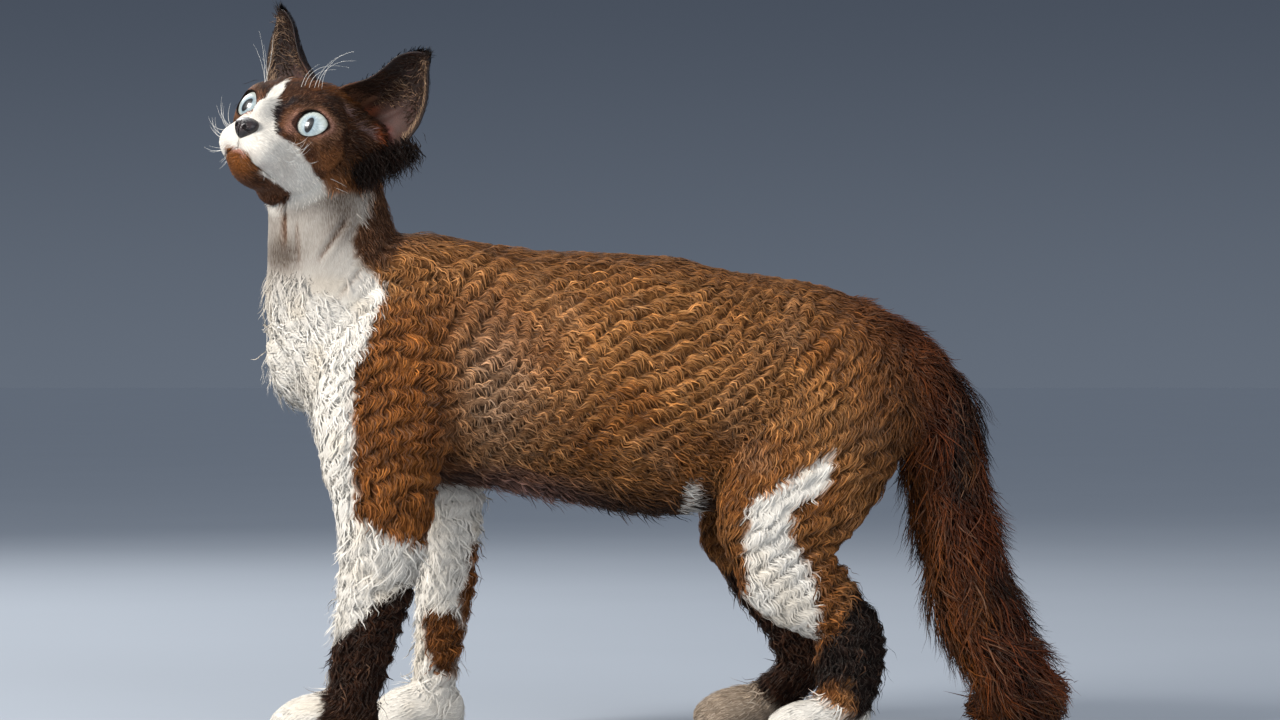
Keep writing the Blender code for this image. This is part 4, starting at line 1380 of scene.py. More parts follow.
    def wave(self) -> tuple[np.ndarray, np.ndarray, np.ndarray]:
        """The coat's wave, broken into locks that arch like scales.

        Returns:
            Its phase, its strength from 0 to about 1, and how far a point lies in the gap between two locks,
            from 0 to 1.
        """
        p = self.points
        start: dict[str, float] = {}
        total = p @ TRUNK_WAY * self.share("torso", "tail")
        for name, (place, way) in SLANTS.items():
            kind, _, which = name.rpartition("_")
            if kind in ABOVE:
                above = f"{ABOVE[kind]}_{which}"
                origin, run = SLANTS[above]
                start[name] = start[above] + np.subtract(place, origin) @ np.array(run)
            else:
                start[name] = np.array(place) @ TRUNK_WAY
            total = total + self.share(name) * (start[name] + (p - place) @ np.array(way))
        base = FULL_TURN * total / (WAVE_LENGTH + 1.3 * noise(p, 60, 21)) + 1.8 * noise(p, 19, 22)
        rank = np.floor(base / FULL_TURN + 0.25)
        seat = (p @ np.array([0.71, 0.0, 0.70]) + 3.0 * noise(p, 14, 26)) / LOCK_WIDTH + chance(rank)
        cell = np.floor(seat)
        bow = np.sin(math.pi * (seat - cell))
        loose = 0.8 + 1.2 * self.share("fore", "thigh")
        phase = base + loose * noise(p, 7.5, 23) + 1.9 * (bow - 0.6) + 0.9 * chance(rank * 57 + cell)
        strength = (0.78 + 0.45 * noise(p, 17, 24)) * (0.55 + 0.55 * bow)
        calm = 0.6 * step(0.5, 0.9, self.normals[:, 2]) + 0.6 * step(100, 145, p[:, 0])
        calm = calm + self.share("neck") * step(225, 250, p[:, 2]) + 0.9 * self.share("tail")
        calm = calm + 0.6 * self.share("paw")
        strength = np.clip(strength * (1 - np.clip(calm, 0, 1)), 0, 1.2) * (1 - self.head)
        return phase, strength, (1 - bow) ** 2 * np.clip(1.3 * strength / (0.55 + 0.55 * bow), 0, 1)


def chance(number: np.ndarray) -> np.ndarray:
    """A number from -1 to 1 that looks random, for each whole number."""
    return 2 * np.mod(np.sin(number * 12.9898) * 43758.5453, 1) - 1


def swing(phase: np.ndarray) -> np.ndarray:
    """The wave's own line: broad crests and narrow troughs, from about -1 to 1."""
    return np.sin(phase) + 0.22 * np.cos(2 * phase)


# ---------------------------------------------------------------- skin


@dataclass(frozen=True)
class Toe:
    """One toe of a paw."""

    paw: str
    ahead: float  # the middle between the paw's last two rows
    back: float  # how far the outer toes stand behind the inner ones
    aside: float
    wide: float  # half width of the whole paw


def toes_of_paws() -> list[Toe]:
    """Lists the four toes of each paw.

    Returns:
        The toes.
    """
    found = []
    for name, rows in LIMBS.items():
        if name.startswith("paw"):
            (x, y, _, wide, _, _), tip = rows[-2:]
            for share in TOE_SHARES:
                back = OUTER_TOE_BACK * (abs(share) > 0.5)
                found.append(Toe(name, (x + tip[0]) / 2, back, y + share * wide, wide))
    return found


@dataclass
class Skin:
    """The one skin of the cat, from nose to toes and tail, with the waves of the coat pressed into it."""

    voxel: float = 2.1
    smoothing: int = 6
    head_divisions: int = 6
    head_inset: float = 0.7
    eye_gap: float = 0.65
    ridge: float = 1.15  # height of the wave
    sway: float = 2.6  # its swing along the skin
    toe_long: float = 8.5
    toe_high: float = 6.6
    toe_share: float = 0.34  # half width of a toe against the paw's
    inner_toe_lift: float = 1.2
    sole: float = 0.35  # lowest height of the skin
    stretch: float = 0.14  # of the down's pattern along the hair
    mouth: tuple[Spot, ...] = ((31, 0, -26), (29.5, 5, -28.5), (25, 11, -31), (19, 15, -33.5), (12, 18, -36))
    philtrum: tuple[Spot, ...] = ((33, 0, -17), (32, 0, -21), (31, 0, -26))
    groove: float = 0.75

    def toes(self) -> list[bpy.types.Object]:
        """Makes four toes for each paw.

        Returns:
            The toes.
        """
        found = []
        for toe in toes_of_paws():
            height = self.toe_high + self.inner_toe_lift * (not toe.back)
            centre = (toe.ahead + 1.5 + toe.back, toe.aside, height)
            radii = (self.toe_long, toe.wide * self.toe_share, self.toe_high)
            found.append(ball(f"toe_{toe.paw}", centre, radii, 16))
        return found

    def skull(self) -> bpy.types.Object:
        """Makes the head with its lids, philtrum and the line of the mouth.

        Returns:
            The head.
        """
        mesh = bpy.data.meshes.new("skull")
        shape = bmesh.new()
        bmesh.ops.create_icosphere(shape, subdivisions=self.head_divisions, radius=1)
        bmesh.ops.triangulate(shape, faces=shape.faces)
        shape.to_mesh(mesh)
        shape.free()
        rays = np.array([v.co for v in mesh.vertices])
        faces = np.array([p.vertices for p in mesh.polygons])
        bpy.data.meshes.remove(mesh)
        far = np.full(len(rays), float(SKULL_REACH))
        for _ in range(SKULL_STEPS):
            far -= SKULL_STRIDE * (HEAD.field(SKULL_CENTRE + rays * far[:, None]) + self.head_inset)
        points = SKULL_CENTRE + rays * far[:, None]
        head = mesh_object("skull", HEAD.outward(points), faces)
        outward_faces(head)
        surface = BVHTree.FromPolygons(points.tolist(), faces.tolist())
        cutters = [cutter for side in Side for cutter in self.lid_cutters(side)]
        paths = [self.philtrum, self.mouth, [(x, -y, z) for x, y, z in self.mouth]]
        for path in paths:
            rows = [(*surface.find_nearest(Vector(spot))[0], self.groove, self.groove, 0) for spot in path]
            cutter = loft("groove", rows, 1, 8, 4)
            set_points(cutter, HEAD.outward(arrays_of(cutter)[0]))
            cutters.append(cutter)
        for cutter in cutters:
            boolean(head, cutter, "DIFFERENCE")
        return head

    def lid_cutters(self, side: Side) -> list[bpy.types.Object]:
        """Makes the eyeball's room and the almond opening between the lids.

        Args:
            side: which eye.

        Returns:
            The two cutters.
        """
        centre, turn = LIDS.frame(side)
        room = ball("room", centre, (EYE_RADIUS + self.eye_gap,) * 3, 48)
        wide = side.pick(LIDS.wide)
        opening = ball("opening", (0, 0, 0), (LIDS.deep, wide, LIDS.high), 48)
        points = arrays_of(opening)[0]
        points[:, 2] *= 1 - LIDS.pinch * (points[:, 1] / wide) ** 2
        points = (points + (LIDS.ahead, 0, 0)) @ turn.T + centre
        set_points(room, HEAD.outward(arrays_of(room)[0]))
        set_points(opening, HEAD.outward(points))
        return [room, opening]

    def build(self, hide: Hide) -> tuple[bpy.types.Object, Survey]:
        """Makes the skin, presses the wave into it and colours it.

        Args:
            hide: the lie and colours of the coat.

        Returns:
            The skin, and a survey of its vertices before the wave was pressed in.
        """
        pieces = [loft(name, rows, SKIN_SHARE) for name, rows in LIMBS.items()]
        body = melt(pieces + self.toes(), self.voxel, self.smoothing)
        body.name = body.data.name = "skin"
        boolean(body, self.skull(), "UNION")
        points, normals, _ = arrays_of(body)
        survey = hide.read(points, normals)
        phase, strength, gap = survey.wave()
        push = swing(phase) * strength
        moved = points + normals * (push * self.ridge + survey.folds())[:, None]
        moved[:, 2] = np.maximum(moved[:, 2], self.sole)
        set_points(body, moved)
        sway = side_of(normals, survey.lie()) * (push * self.sway)[:, None]
        aside = np.stack([(sway * hide.axes[k][survey.nearest]).sum(1) for k in (1, 2, 0)], 1)
        set_values(body, "strand", (survey.grain - aside) * (1, 1, self.stretch))
        tint = survey.tint()
        pale = paleness(tint)
        # Painted shade: the skin is darker in the wave's troughs and in the gaps between locks and lighter on
        # its crests, much less so under white hair.
        shade = np.where(survey.head > 0.5, 0.9, (0.60 + 0.26 * push) * (1 - 0.4 * gap)) * (1 - pale)
        shade = shade + (0.93 + 0.05 * push) * (1 - 0.12 * gap) * pale
        set_values(body, "tint", tint * shade[:, None])
        body.data.shade_smooth()
        survey.waved = arrays_of(body)[1]
        return body, survey


def side_of(normals: np.ndarray, lie: np.ndarray) -> np.ndarray:
    """Finds the direction across the hair, kept on the upper side of the body.

    Args:
        normals: outward directions of the skin.
        lie: directions of the hair.

    Returns:
        A unit direction for each point.
    """
    across = np.cross(normals, lie)
    flip = np.where(across[:, 2] < 0, -1.0, 1.0)
    return across * flip[:, None]


# ---------------------------------------------------------------- coat


@dataclass(frozen=True)
class Growth:
    """How one kind of hair grows: tufts to a square millimetre, sizes, and how it bends."""

    density: float
    length: float
    width: float
    rise: float  # highest lift over the skin
    tip: float  # lift of the tip
    sway: float  # share of the body's wave that it follows
    curl: float  # swing of its own curl
    turns: float  # curls in its length
    rings: int
    stray: float  # how far its direction strays from the lie
    lock: float = 9.0  # size of a lock whose tufts curl together
    vary: float = 0.17  # how far its brightness varies
    fleck: float = 0.12  # share of paler tufts
    even: float = 0.55  # how far its shading follows the whole surface
    round: float = 0.35  # how far a tuft's shading turns from side to side


GROWTHS = {
    Kind.FACE: Growth(0.50, 4.2, 0.50, 0.3, 0.3, 0.0, 0.15, 0.5, 2, 0.2, 5, 0.28, 0.2, 0.8, 0.2),
    Kind.RUFF: Growth(0.34, 7.5, 0.55, 0.9, 1.9, 0.0, 0.45, 0.7, 3, 0.3, 6, 0.32, 0.2, 0.65, 0.3),
    Kind.NAPE: Growth(0.34, 6.0, 0.70, 0.8, 1.1, 0.4, 0.5, 0.8, 3, 0.3, 6, 0.3),
    Kind.THROAT: Growth(0.14, 3.6, 0.32, 0.15, 0.2, 0.0, 0.25, 0.6, 2, 0.3, 8, 0.05, 0.0, 0.9, 0.12),
    Kind.WAVE: Growth(0.236, 11.0, 0.92, 1.2, 1.2, 1.0, 0.6, 1.0, 4, 0.28, 8, 0.28, 0.14),
    Kind.RUMP: Growth(0.30, 11.0, 0.85, 2.2, 4.2, 0.5, 1.2, 1.1, 4, 0.5, 8, 0.32),
    Kind.CHEST: Growth(0.42, 8.0, 0.60, 0.45, 0.75, 0.7, 1.1, 1.0, 3, 0.35, 7, 0.06, 0.0, 0.8, 0.25),
    Kind.BELLY: Growth(0.18, 10.0, 0.9, 1.4, 3.0, 0.4, 0.9, 1.0, 3, 0.4, 8, 0.25),
    Kind.LEG: Growth(0.26, 8.5, 0.85, 1.3, 1.5, 0.7, 1.5, 1.2, 3, 0.38, 6, 0.3, 0.03, 0.55, 0.35),
    Kind.PAW: Growth(0.36, 5.2, 0.70, 0.5, 0.7, 0.1, 0.3, 0.6, 2, 0.2, 6, 0.14, 0.12, 0.8, 0.2),
    Kind.TAIL: Growth(0.24, 24.0, 0.85, 4.0, 11.0, 0.0, 1.6, 0.9, 4, 0.55, 7, 0.4, 0.15),
    Kind.SHAG: Growth(0.024, 12.0, 0.9, 2.2, 6.5, 0.3, 1.2, 0.8, 4, 0.7, 8, 0.25, 0.1, 0.65, 0.3),
}
WOOL_LIGHT, WHITE_LIGHT = 0.25, 0.3  # blue light above which hair is wool, and white on the head
# Where the loose shag grows, as shares of its density.
SHAG_ON = {Kind.CHEST: 2.4, Kind.LEG: 1.2, Kind.BELLY: 2.0, Kind.RUMP: 2.5, Kind.TAIL: 2.5}


@dataclass
class Coat:
    """The hair of the cat: flat, tapered tufts that walk along the skin with its wave."""

    skin: Skin
    survey: Survey
    triangles: np.ndarray
    limit: int = 190000  # triangles of one piece
    far_share: float = 0.72  # density on the right side
    thickness: float = 0.13  # of a tuft against its width
    patch: float = 0.003  # size of a tuft on the bake map
    sizes: tuple[float, float] = (0.75, 1.25)  # of tufts against their growth's
    tail_end: tuple[float, float] = (4, 34)  # distances from the tail's end between which its hair gets full
    tail_end_share: float = 0.35  # of length and lift at the end
    sunk: float = 1.0  # depth of the roots
    floor: float = 0.6  # lowest height of a hair's middle line
    sole: float = 0.8  # height below which no hair grows
    lid: float = 1.13  # bare share of the way out from the eye, against the opening's edge
    lid_corner: float = 0.10  # what is added to it at the outer corner
    lid_deep: float = 17  # how far ahead of the eyeball's middle the lids reach
    nose_seat: tuple[Spot, Spot] = ((31, 0, -13), (6.5, 7.0, 6.2))
    trough: float = -1.9  # phase in which a tuft of the wave starts
    crest_to_crest: float = 11.5
    draw: np.random.Generator = field(default_factory=lambda: np.random.default_rng(SEED))

    def __post_init__(self) -> None:
        """Works out what the tufts read at each vertex of the skin."""
        self.tree = BVHTree.FromPolygons(self.survey.points.tolist(), self.triangles.tolist())
        self.lie = self.survey.lie()
        self.phase, self.strength, self.gap = self.survey.wave()
        self.tint = self.survey.tint()
        self.kinds = self.kinds_of()
        self.waved = self.survey.waved

    def kinds_of(self) -> np.ndarray:
        """Picks the kind of hair at each vertex.

        Returns:
            Places in the list of kinds.
        """
        s, p, n = self.survey, self.survey.points, self.survey.normals
        order = list(Kind)
        found = np.full(len(p), order.index(Kind.WAVE))

        def put(kind: Kind, where: np.ndarray) -> None:
            """Sets the kind at some vertices."""
            found[where] = order.index(kind)

        neck, torso, forelegs = (s.share(name) > 0.5 for name in ("neck", "torso", "fore"))
        wool, white = self.tint[:, 2] > WOOL_LIGHT, self.tint[:, 2] > WHITE_LIGHT
        put(Kind.THROAT, neck)
        put(Kind.NAPE, neck & (p[:, 0] > -165) & (n[:, 0] > -0.2))
        put(Kind.LEG, s.share("fore", "shank", "hock") > 0.5)
        put(Kind.RUMP, (p[:, 0] + 0.35 * (p[:, 2] - 200) > 118) & (p[:, 2] > 110))
        top = 256 + 8 * noise(p, 12, 46)
        put(Kind.CHEST, (n[:, 0] < -0.35) & (p[:, 2] > 118) & (p[:, 2] < top) & (p[:, 0] < -150))
        put(Kind.BELLY, torso & (n[:, 2] < -0.75))
        put(Kind.PAW, s.share("paw") > 0.5)
        woolly = wool & (found == order.index(Kind.LEG))
        put(Kind.CHEST, woolly)
        put(Kind.WAVE, woolly & (p[:, 0] > 0))
        put(Kind.WAVE, forelegs & ~woolly & (p[:, 2] > 108))
        put(Kind.CHEST, neck & wool & (p[:, 2] < top - 8) & (p[:, 0] < -140))
        put(Kind.TAIL, s.share("tail") > 0.5)
        head = s.head > 0.5
        put(Kind.FACE, head)
        crown = (s.local[:, 2] > 16.5) & (s.local[:, 0] < 7)
        cheek = (s.local[:, 0] < -9) & (s.local[:, 2] < 14)
        put(Kind.RUFF, head & (crown | cheek) & ~white)
        return found

    def bare(self, spots: np.ndarray) -> np.ndarray:
        """Marks where no hair grows: soles, lids, lips and the nose's seat.

        Args:
            spots: places on the skin.

        Returns:
            True at each bare place.
        """
        local = HEAD.inward(spots)
        sole = spots[:, 2] < self.sole
        reach, aside, ahead = LIDS.reach(local)
        lid = reach < self.lid + self.lid_corner * np.clip(aside, 0, 1)
        lid &= (ahead > 0) & (ahead < self.lid_deep)
        middle, radii = self.nose_seat
        return sole | lid | (np.linalg.norm((local - middle) / radii, axis=1) < 1.0)

    def roots(self, kind: Kind) -> np.ndarray:
        """Spreads roots of one kind evenly over its part of the skin.

        Args:
            kind: the kind of hair.

        Returns:
            The triangles that a tuft grows from.
        """
        p = self.survey.points
        a, b, c = (p[self.triangles[:, k]] for k in range(3))
        area = np.linalg.norm(np.cross(b - a, c - a), axis=1) / 2
        on = SHAG_ON if kind is Kind.SHAG else {kind: 1.0}
        kinds, order = self.kinds[self.triangles], list(Kind)
        mine = sum(much * (kinds == order.index(k)).mean(1) for k, much in on.items())
        if kind is Kind.SHAG:
            down = self.survey.normals[self.triangles, 2].mean(1)
            torso = self.survey.share("torso")[self.triangles[:, 0]] > 0.5
            mine += 2.5 * step(-0.2, -0.45, down) * step(-0.9, -0.65, down) * torso
        far_side = 1 - (1 - self.far_share) * step(0, 12, (a + b + c)[:, 1] / 3)
        weight = area * mine * GROWTHS[kind].density * far_side
        weight[self.bare((a + b + c) / 3)] = 0
        if kind is Kind.FACE:
            centre = HEAD.inward((a + b + c) / 3)
            weight *= 1 + 0.8 * step(-25, 5, centre[:, 0])
        steps = np.floor(np.cumsum(weight) + self.draw.random())
        return np.repeat(np.arange(len(weight)), np.diff(np.concatenate([[0], steps])).astype(int))

    def walk(
        self, places: np.ndarray, chosen: np.ndarray, lean: np.ndarray, strides: np.ndarray
    ) -> dict[str, np.ndarray]:
        """Walks from roots along the skin with the lie of the hair.

        Args:
            places: roots.
            chosen: the triangle that each root is on.
            lean: how far each tuft strays to one side of the lie.
            strides: length of one step of each tuft.

        Returns:
            Places, normals, lies, phases and strengths of the wave, each with a row for every step.
        """
        keys = ("place", "normal", "waved", "lie", "phase", "strength", "face")
        found: dict[str, list[np.ndarray]] = {k: [] for k in keys}
        steps = strides.shape[1]
        spot, face = places.copy(), chosen.copy()
        for i in range(steps):
            corners = self.triangles[face]
            weight = 1 / (np.linalg.norm(self.survey.points[corners] - spot[:, None], axis=2) + 0.2) ** 2
            weight /= weight.sum(1, keepdims=True)
            normal, lie, waved = (
                (values[corners] * weight[:, :, None]).sum(1)
                for values in (self.survey.normals, self.lie, self.waved)
            )
            phase, strength = ((values[corners] * weight).sum(1) for values in (self.phase, self.strength))
            normal = unit(normal)
            lie = along(lie, normal)
            lie = unit(lie + np.cross(normal, lie) * lean[:, None])
            now = (spot.copy(), normal, unit(waved), lie, phase, strength, face.copy())
            for key, value in zip(keys, now):
                found[key].append(value)
            ahead = spot + lie * strides[:, i : i + 1]
            for k, target in enumerate(ahead):
                near, _, index, _ = self.tree.find_nearest(target)
                spot[k], face[k] = near, index
        return {k: np.stack(v, 1) for k, v in found.items()}

    def grow(self, kind: Kind) -> tuple[np.ndarray, dict[str, np.ndarray]]:
        """Shapes all tufts of one kind.

        Args:
            kind: the kind of hair.

        Returns:
            The rings' points, as tuft, ring, corner and axis, and the values at each of those points.
        """
        growth, chosen = GROWTHS[kind], self.roots(kind)
        count, rings = len(chosen), growth.rings + 2
        share = self.draw.dirichlet((1, 1, 1), count)
        places = (self.survey.points[self.triangles[chosen]] * share[:, :, None]).sum(1)
        if growth.sway > 0.7:
            back = self.shift_to_trough(chosen)
            start = self.walk(places, chosen, np.zeros(count), back[:, None])
            places = places + start["lie"][:, 0] * back[:, None]
            for k, target in enumerate(places):
                places[k], _, chosen[k], _ = self.tree.find_nearest(target)
        size = self.draw.uniform(*self.sizes, count)
        stray = 1.4 * noise(places, growth.lock, 41) + 0.5 * self.draw.normal(0, 1, count)
        far = np.linalg.norm(places - np.array(LIMBS["tail"][-1][:3]), axis=1)
        fuller = self.tail_end_share + (1 - self.tail_end_share) * step(*self.tail_end, far)
        long = growth.length * size * fuller
        if kind is Kind.CHEST:
            height = places[:, 2]
            long = long * (0.4 + 0.6 * step(258, 222, height)) * (1 - 0.3 * step(170, 130, height))
        path = self.walk(places, chosen, growth.stray * stray, np.tile((long / (rings - 1))[:, None], rings))
        push = swing(path["phase"]) * path["strength"]
        t = np.linspace(0, 1, rings)
        own = FULL_TURN * (1.6 * noise(places, growth.lock, 42) + 0.1 * self.draw.normal(0, 1, count))
        own = own[:, None] + FULL_TURN * growth.turns * t
        curl = growth.curl * size[:, None] * (np.sin(own) - np.sin(own[:, :1])) * np.sqrt(t)
        arch = np.sin(math.pi * np.minimum(t * 1.15, 1)) ** 0.8 * (1 - t) ** 0.25
        lift = growth.rise * arch + growth.tip * t**2
        clump = np.clip(0.85 + 0.8 * noise(places, 1.2 * growth.lock, 48), 0.25, 1.6)
        lift = lift * (clump * self.draw.uniform(0.5, 1.15, count))[:, None] - self.sunk * (1 - t) ** 3
        lift = (lift + 0.4 * growth.curl * np.cos(own) * t) * fuller[:, None]
        side = (push - push[:, :1] * (1 - growth.sway)) * growth.sway * self.skin.sway
        height = push * self.skin.ridge + lift
        across = side_of(path["normal"], path["lie"])
        line = path["place"] + path["normal"] * height[:, :, None] + across * (side + curl)[:, :, None]
        line[:, :, 2] = np.maximum(line[:, :, 2], self.floor)
        taper = np.clip(0.55 + 1.6 * t, 0, 1) * (1 - t**2.2) ** 0.75
        width = (growth.width * size)[:, None] * taper / 2
        points, normals = self.section(line, path["normal"], path["waved"], width, growth.even, growth.round)
        middle = path["face"][:, rings // 3]
        tint = self.root_tint(growth, middle, places)
        gap = self.gap[self.triangles[middle]].mean(1)[:, None]
        fine = self.draw.uniform(0, 40, (count, 1))
        return points, {
            "tint": tint[:, None, None, :] * self.shading(tint, t, push, gap)[:, :, :, None],
            "strand": self.strand(fine, growth.width, long[:, None] * t),
            "normal": normals,
            "root": self.atlas(chosen),
            "x": path["place"][:, 0, 0],
        }

    def shading(self, tint: np.ndarray, t: np.ndarray, push: np.ndarray, gap: np.ndarray) -> np.ndarray:
        """Paints shade on tufts: darker in the troughs of the wave, in the gaps and along their side edges,
        and darker at their roots, which is partly the hair's own colour and partly painted shade.

        Args:
            tint: the colour of each tuft; the shading is weaker on white ones.
            t: the share of the way to the tip at each step.
            push: the wave at each step of each tuft.
            gap: how far each tuft stands in a gap between two locks.

        Returns:
            A brightness for each corner of each section.
        """
        light = paleness(tint)[:, None]
        shade = 1 - (0.60 - 0.52 * light) * (1 - np.minimum(t * 3, 1)) + 0.14 * t
        shade = shade * (1 + (0.46 - 0.38 * light) * np.clip(push, -1, 1))
        shade = shade * (1 - (0.38 - 0.28 * light) * gap)
        edge = (1 - light)[:, :, None] * np.array([-0.24, -0.24, 0.16])
        return shade[:, :, None] * (1 + edge)

    def root_tint(self, growth: Growth, chosen: np.ndarray, places: np.ndarray) -> np.ndarray:
        """Colours of tufts: the hide's at their roots, with locks and single hairs that are paler or darker.

        Args:
            growth: their kind.
            chosen: the triangle that each root is on.
            places: their roots.

        Returns:
            A linear colour for each tuft.
        """
        count = len(chosen)
        tint = self.tint[self.triangles[chosen]].mean(1)
        bright = self.draw.normal(0, 1, count) + 0.9 * noise(places, 3.6, 43) + 0.6 * noise(places, 11, 44)
        light = paleness(tint)
        tint = tint * np.exp(growth.vary * (1 - 0.7 * light) * bright)[:, None]
        warm = 0.6 * noise(places, 6, 45) + 0.4 * self.draw.normal(0, 1, count)
        tint = tint * (1 + (warm * (1 - light))[:, None] * np.array([0.08, 0, -0.12]))
        brown = step(0.30, 0.12, tint[:, 0])
        pale = (self.draw.random(count) < growth.fleck) * self.draw.uniform(0.2, 0.6, count)
        return towards(pale * brown, tint, Tone.TAN)

    def section(
        self,
        line: np.ndarray,
        normal: np.ndarray,
        soft: np.ndarray,
        width: np.ndarray,
        even: float,
        bow: float,
    ) -> tuple[np.ndarray, np.ndarray]:
        """Puts a flat three-cornered section round each point of many lines.

        Args:
            line: points of each line, as line, step and axis.
            normal: the outer side of each point.
            soft: the direction that the coat's surface faces as a whole.
            width: half width at each point.
            even: how far the shading follows that surface.
            bow: how far the shading turns from side to side.

        Returns:
            Points as line, step, corner and axis, and the directions that they are shaded with.
        """
        run = unit(np.gradient(line, axis=1))
        flat = unit(np.cross(normal, run))
        over = np.cross(run, flat)
        high = (width * self.thickness * 2)[:, :, None]
        corners = [(-1.0, -0.35), (1.0, -0.35), (0.0, 1.0)]
        points = np.stack([line + flat * width[:, :, None] * u + over * high * v for u, v in corners], 2)
        facing = unit(even * soft + (1 - even) * over)
        return points, np.stack([unit(facing + bow * u * flat) for u, _ in corners], 2)

    def strand(self, fine: np.ndarray, width: float, run: np.ndarray) -> np.ndarray:
        """Coordinates across and along tufts in millimetres, each tuft on its own place in the noise.

        Args:
            fine: the place of each tuft.
            width: its width.
            run: distance from its root at each step.

        Returns:
            Three numbers for each corner of each section.
        """
        wide = np.stack([np.broadcast_to(fine + width * u / 2, run.shape) for u in (-1.0, 1.0, 0.0)], 2)
        length = np.repeat((run + fine)[:, :, None], 3, 2)
        return np.stack([wide, length, np.broadcast_to(fine[:, :, None], wide.shape)], 3)

    def shift_to_trough(self, chosen: np.ndarray) -> np.ndarray:
        """How far along the lie each root moves so that its tuft starts in a trough of the wave.

        Args:
            chosen: the triangle that each root is on.

        Returns:
            Distances along the lie.
        """
        corners = self.triangles[chosen]
        phase = self.phase[corners[:, 0]] + self.draw.normal(0, 1.1, len(chosen))
        want = (self.trough - phase + math.pi) % FULL_TURN - math.pi
        return want / FULL_TURN * self.crest_to_crest * np.clip(self.strength[corners].mean(1) * 1.5, 0, 1)

    def atlas(self, chosen: np.ndarray) -> np.ndarray:
        """Places of roots on an unwrap of the skin, each limb rolled out like a tube.

        Args:
            chosen: the triangle that each root is on.

        Returns:
            Two numbers for each root: the turn round its limb and the way along it.
        """
        corner = self.triangles[chosen, 0]
        s = self.survey
        row = s.nearest[corner]
        offset = s.points[corner] - s.hide.rows[row, :3]
        run, wide, deep = ((offset * axis[row]).sum(1) for axis in s.hide.axes)
        tube_place = np.stack([np.arctan2(deep, wide) / FULL_TURN + 0.5, row + run / 8], 1)
        turns = s.lonlat()[corner]
        ball_place = np.stack([turns[:, 0] / 360 + 0.5, turns[:, 1] / 180 + 0.5], 1)
        return np.where((s.head[corner] > 0.5)[:, None], ball_place, tube_place)

    def piece(
        self, name: str, points: np.ndarray, values: dict[str, np.ndarray], material: bpy.types.Material
    ) -> None:
        """Makes one object of tufts.

        Args:
            name: name of the piece.
            points: rings' points of its tufts.
            values: the values at those points.
            material: its finish.
        """
        count, rings = points.shape[:2]
        one = tube([np.zeros((3, 3))] * (rings - 2), np.zeros(3), np.zeros(3))[1]
        size = 3 * (rings - 2) + 2
        faces = (one[None] + (np.arange(count) * size)[:, None, None]).reshape(-1, 3)
        obj = mesh_object(name, self.vertices(points), faces)
        for key in ("tint", "strand"):
            set_values(obj, key, self.vertices(values[key]))
        normals = unit(self.vertices(values["normal"]))
        obj.data.normals_split_custom_set_from_vertices(normals.tolist())
        low, high = values["root"].min(0), values["root"].max(0)
        place = 0.01 + 0.98 * (values["root"] - low) / np.maximum(high - low, 1e-6)
        across = np.concatenate([[0.0], np.tile([-0.5, 0.5, 0.0], rings - 2), [0.0]])
        run = np.concatenate([[-0.5], np.repeat(np.linspace(-0.5, 0.5, rings)[1:-1], 3), [0.5]])
        flat = place[:, None, :] + self.patch * np.stack([across, run], 1)[None]
        chart = obj.data.uv_layers.new(name="OFBake")
        chart.data.foreach_set("uv", flat.reshape(-1, 2)[faces.ravel()].ravel().astype(np.float32))
        obj.data.materials.append(material)
        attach(obj, BODY)
        LOG.info("%s: %d tufts, %d triangles", name, count, len(faces))

    @staticmethod
    def vertices(values: np.ndarray) -> np.ndarray:
        """Takes the first and last ring of each tuft together to one point.

        Args:
            values: three numbers for each tuft, ring and corner.

        Returns:
            Three numbers for each vertex of the tufts' mesh.
        """
        inner = values[:, 1:-1].reshape(len(values), -1, 3)
        return np.concatenate([values[:, :1].mean(2), inner, values[:, -1:].mean(2)], 1).reshape(-1, 3)

    def build(self, material: bpy.types.Material) -> None:
        """Grows the whole coat, in pieces below the limit of triangles.

        Args:
            material: the finish of the hair.
        """
        for kind in Kind:
            points, values = self.grow(kind)
            each = 6 * (points.shape[1] - 2)
            pieces = math.ceil(len(points) * each / self.limit)
            order = np.argsort(values["x"], kind="stable")
            for i, part in enumerate(np.array_split(order, pieces)):
                chosen = {k: v[part] for k, v in values.items()}
                self.piece(f"fur_{kind.value}_{i + 1}", points[part], chosen, material)


# ---------------------------------------------------------------- eyes


@dataclass(frozen=True)
class IrisFinish:
    """A pale blue iris with fibres, an upright pupil and a wet, clear front."""

    name: str = "blue_eye"
    pupil: tuple[float, float] = (2.3, 4.4)
    iris: float = 11.5

    def material(self) -> bpy.types.Material:
        """Builds the material.

        Returns:
            The material.
        """
        paint = Paint(self.name)
        u, v, _ = paint.parts(paint.stored("gaze"))
        far = (u * u + v * v + 1e-4) ** 0.5
        ray = {"X": u / far * 7.0, "Y": v / far * 7.0, "Z": far * 0.25}
        spoke = paint.node("ShaderNodeCombineXYZ", {}, ray)
        fibre = paint.cloud(spoke, 1.6, 3.0, 0.65)
        cloud = paint.cloud(spoke, 0.5, 2.0)
        outer = far.rise(4.2, 8.2)
        base = paint.blend(outer, rgba((150, 164, 168)), rgba((206, 212, 200)))
        base = paint.blend(fibre.rise(0.40, 0.72) * 0.5, base, rgba((228, 238, 236)))
        base = paint.blend(cloud.rise(0.55, 0.8) * 0.35, base, rgba((128, 148, 160)))
        base = paint.blend(far.rise(self.iris - 1.1, self.iris), base, rgba((40, 44, 46)))
        hole = ((u / self.pupil[0]) ** 2.0 + (v / self.pupil[1]) ** 2.0) ** 0.5
        ring = (1.35 - hole).rise(0.0, 0.3) * 0.5
        base = paint.blend(ring, base, rgba((96, 120, 136)))
        base = paint.blend(hole.rise(1.03, 0.98), base, rgba((3, 3, 4)))
        relief = paint.relief(fibre, 0.15, 0.5)
        return paint.finish(
            Base_Color=base,
            Roughness=0.30 + fibre * 0.1,
            Normal=relief,
            Coat_Weight=1.0,
            Coat_Roughness=0.02,
            Specular_IOR_Level=0.5,
        )


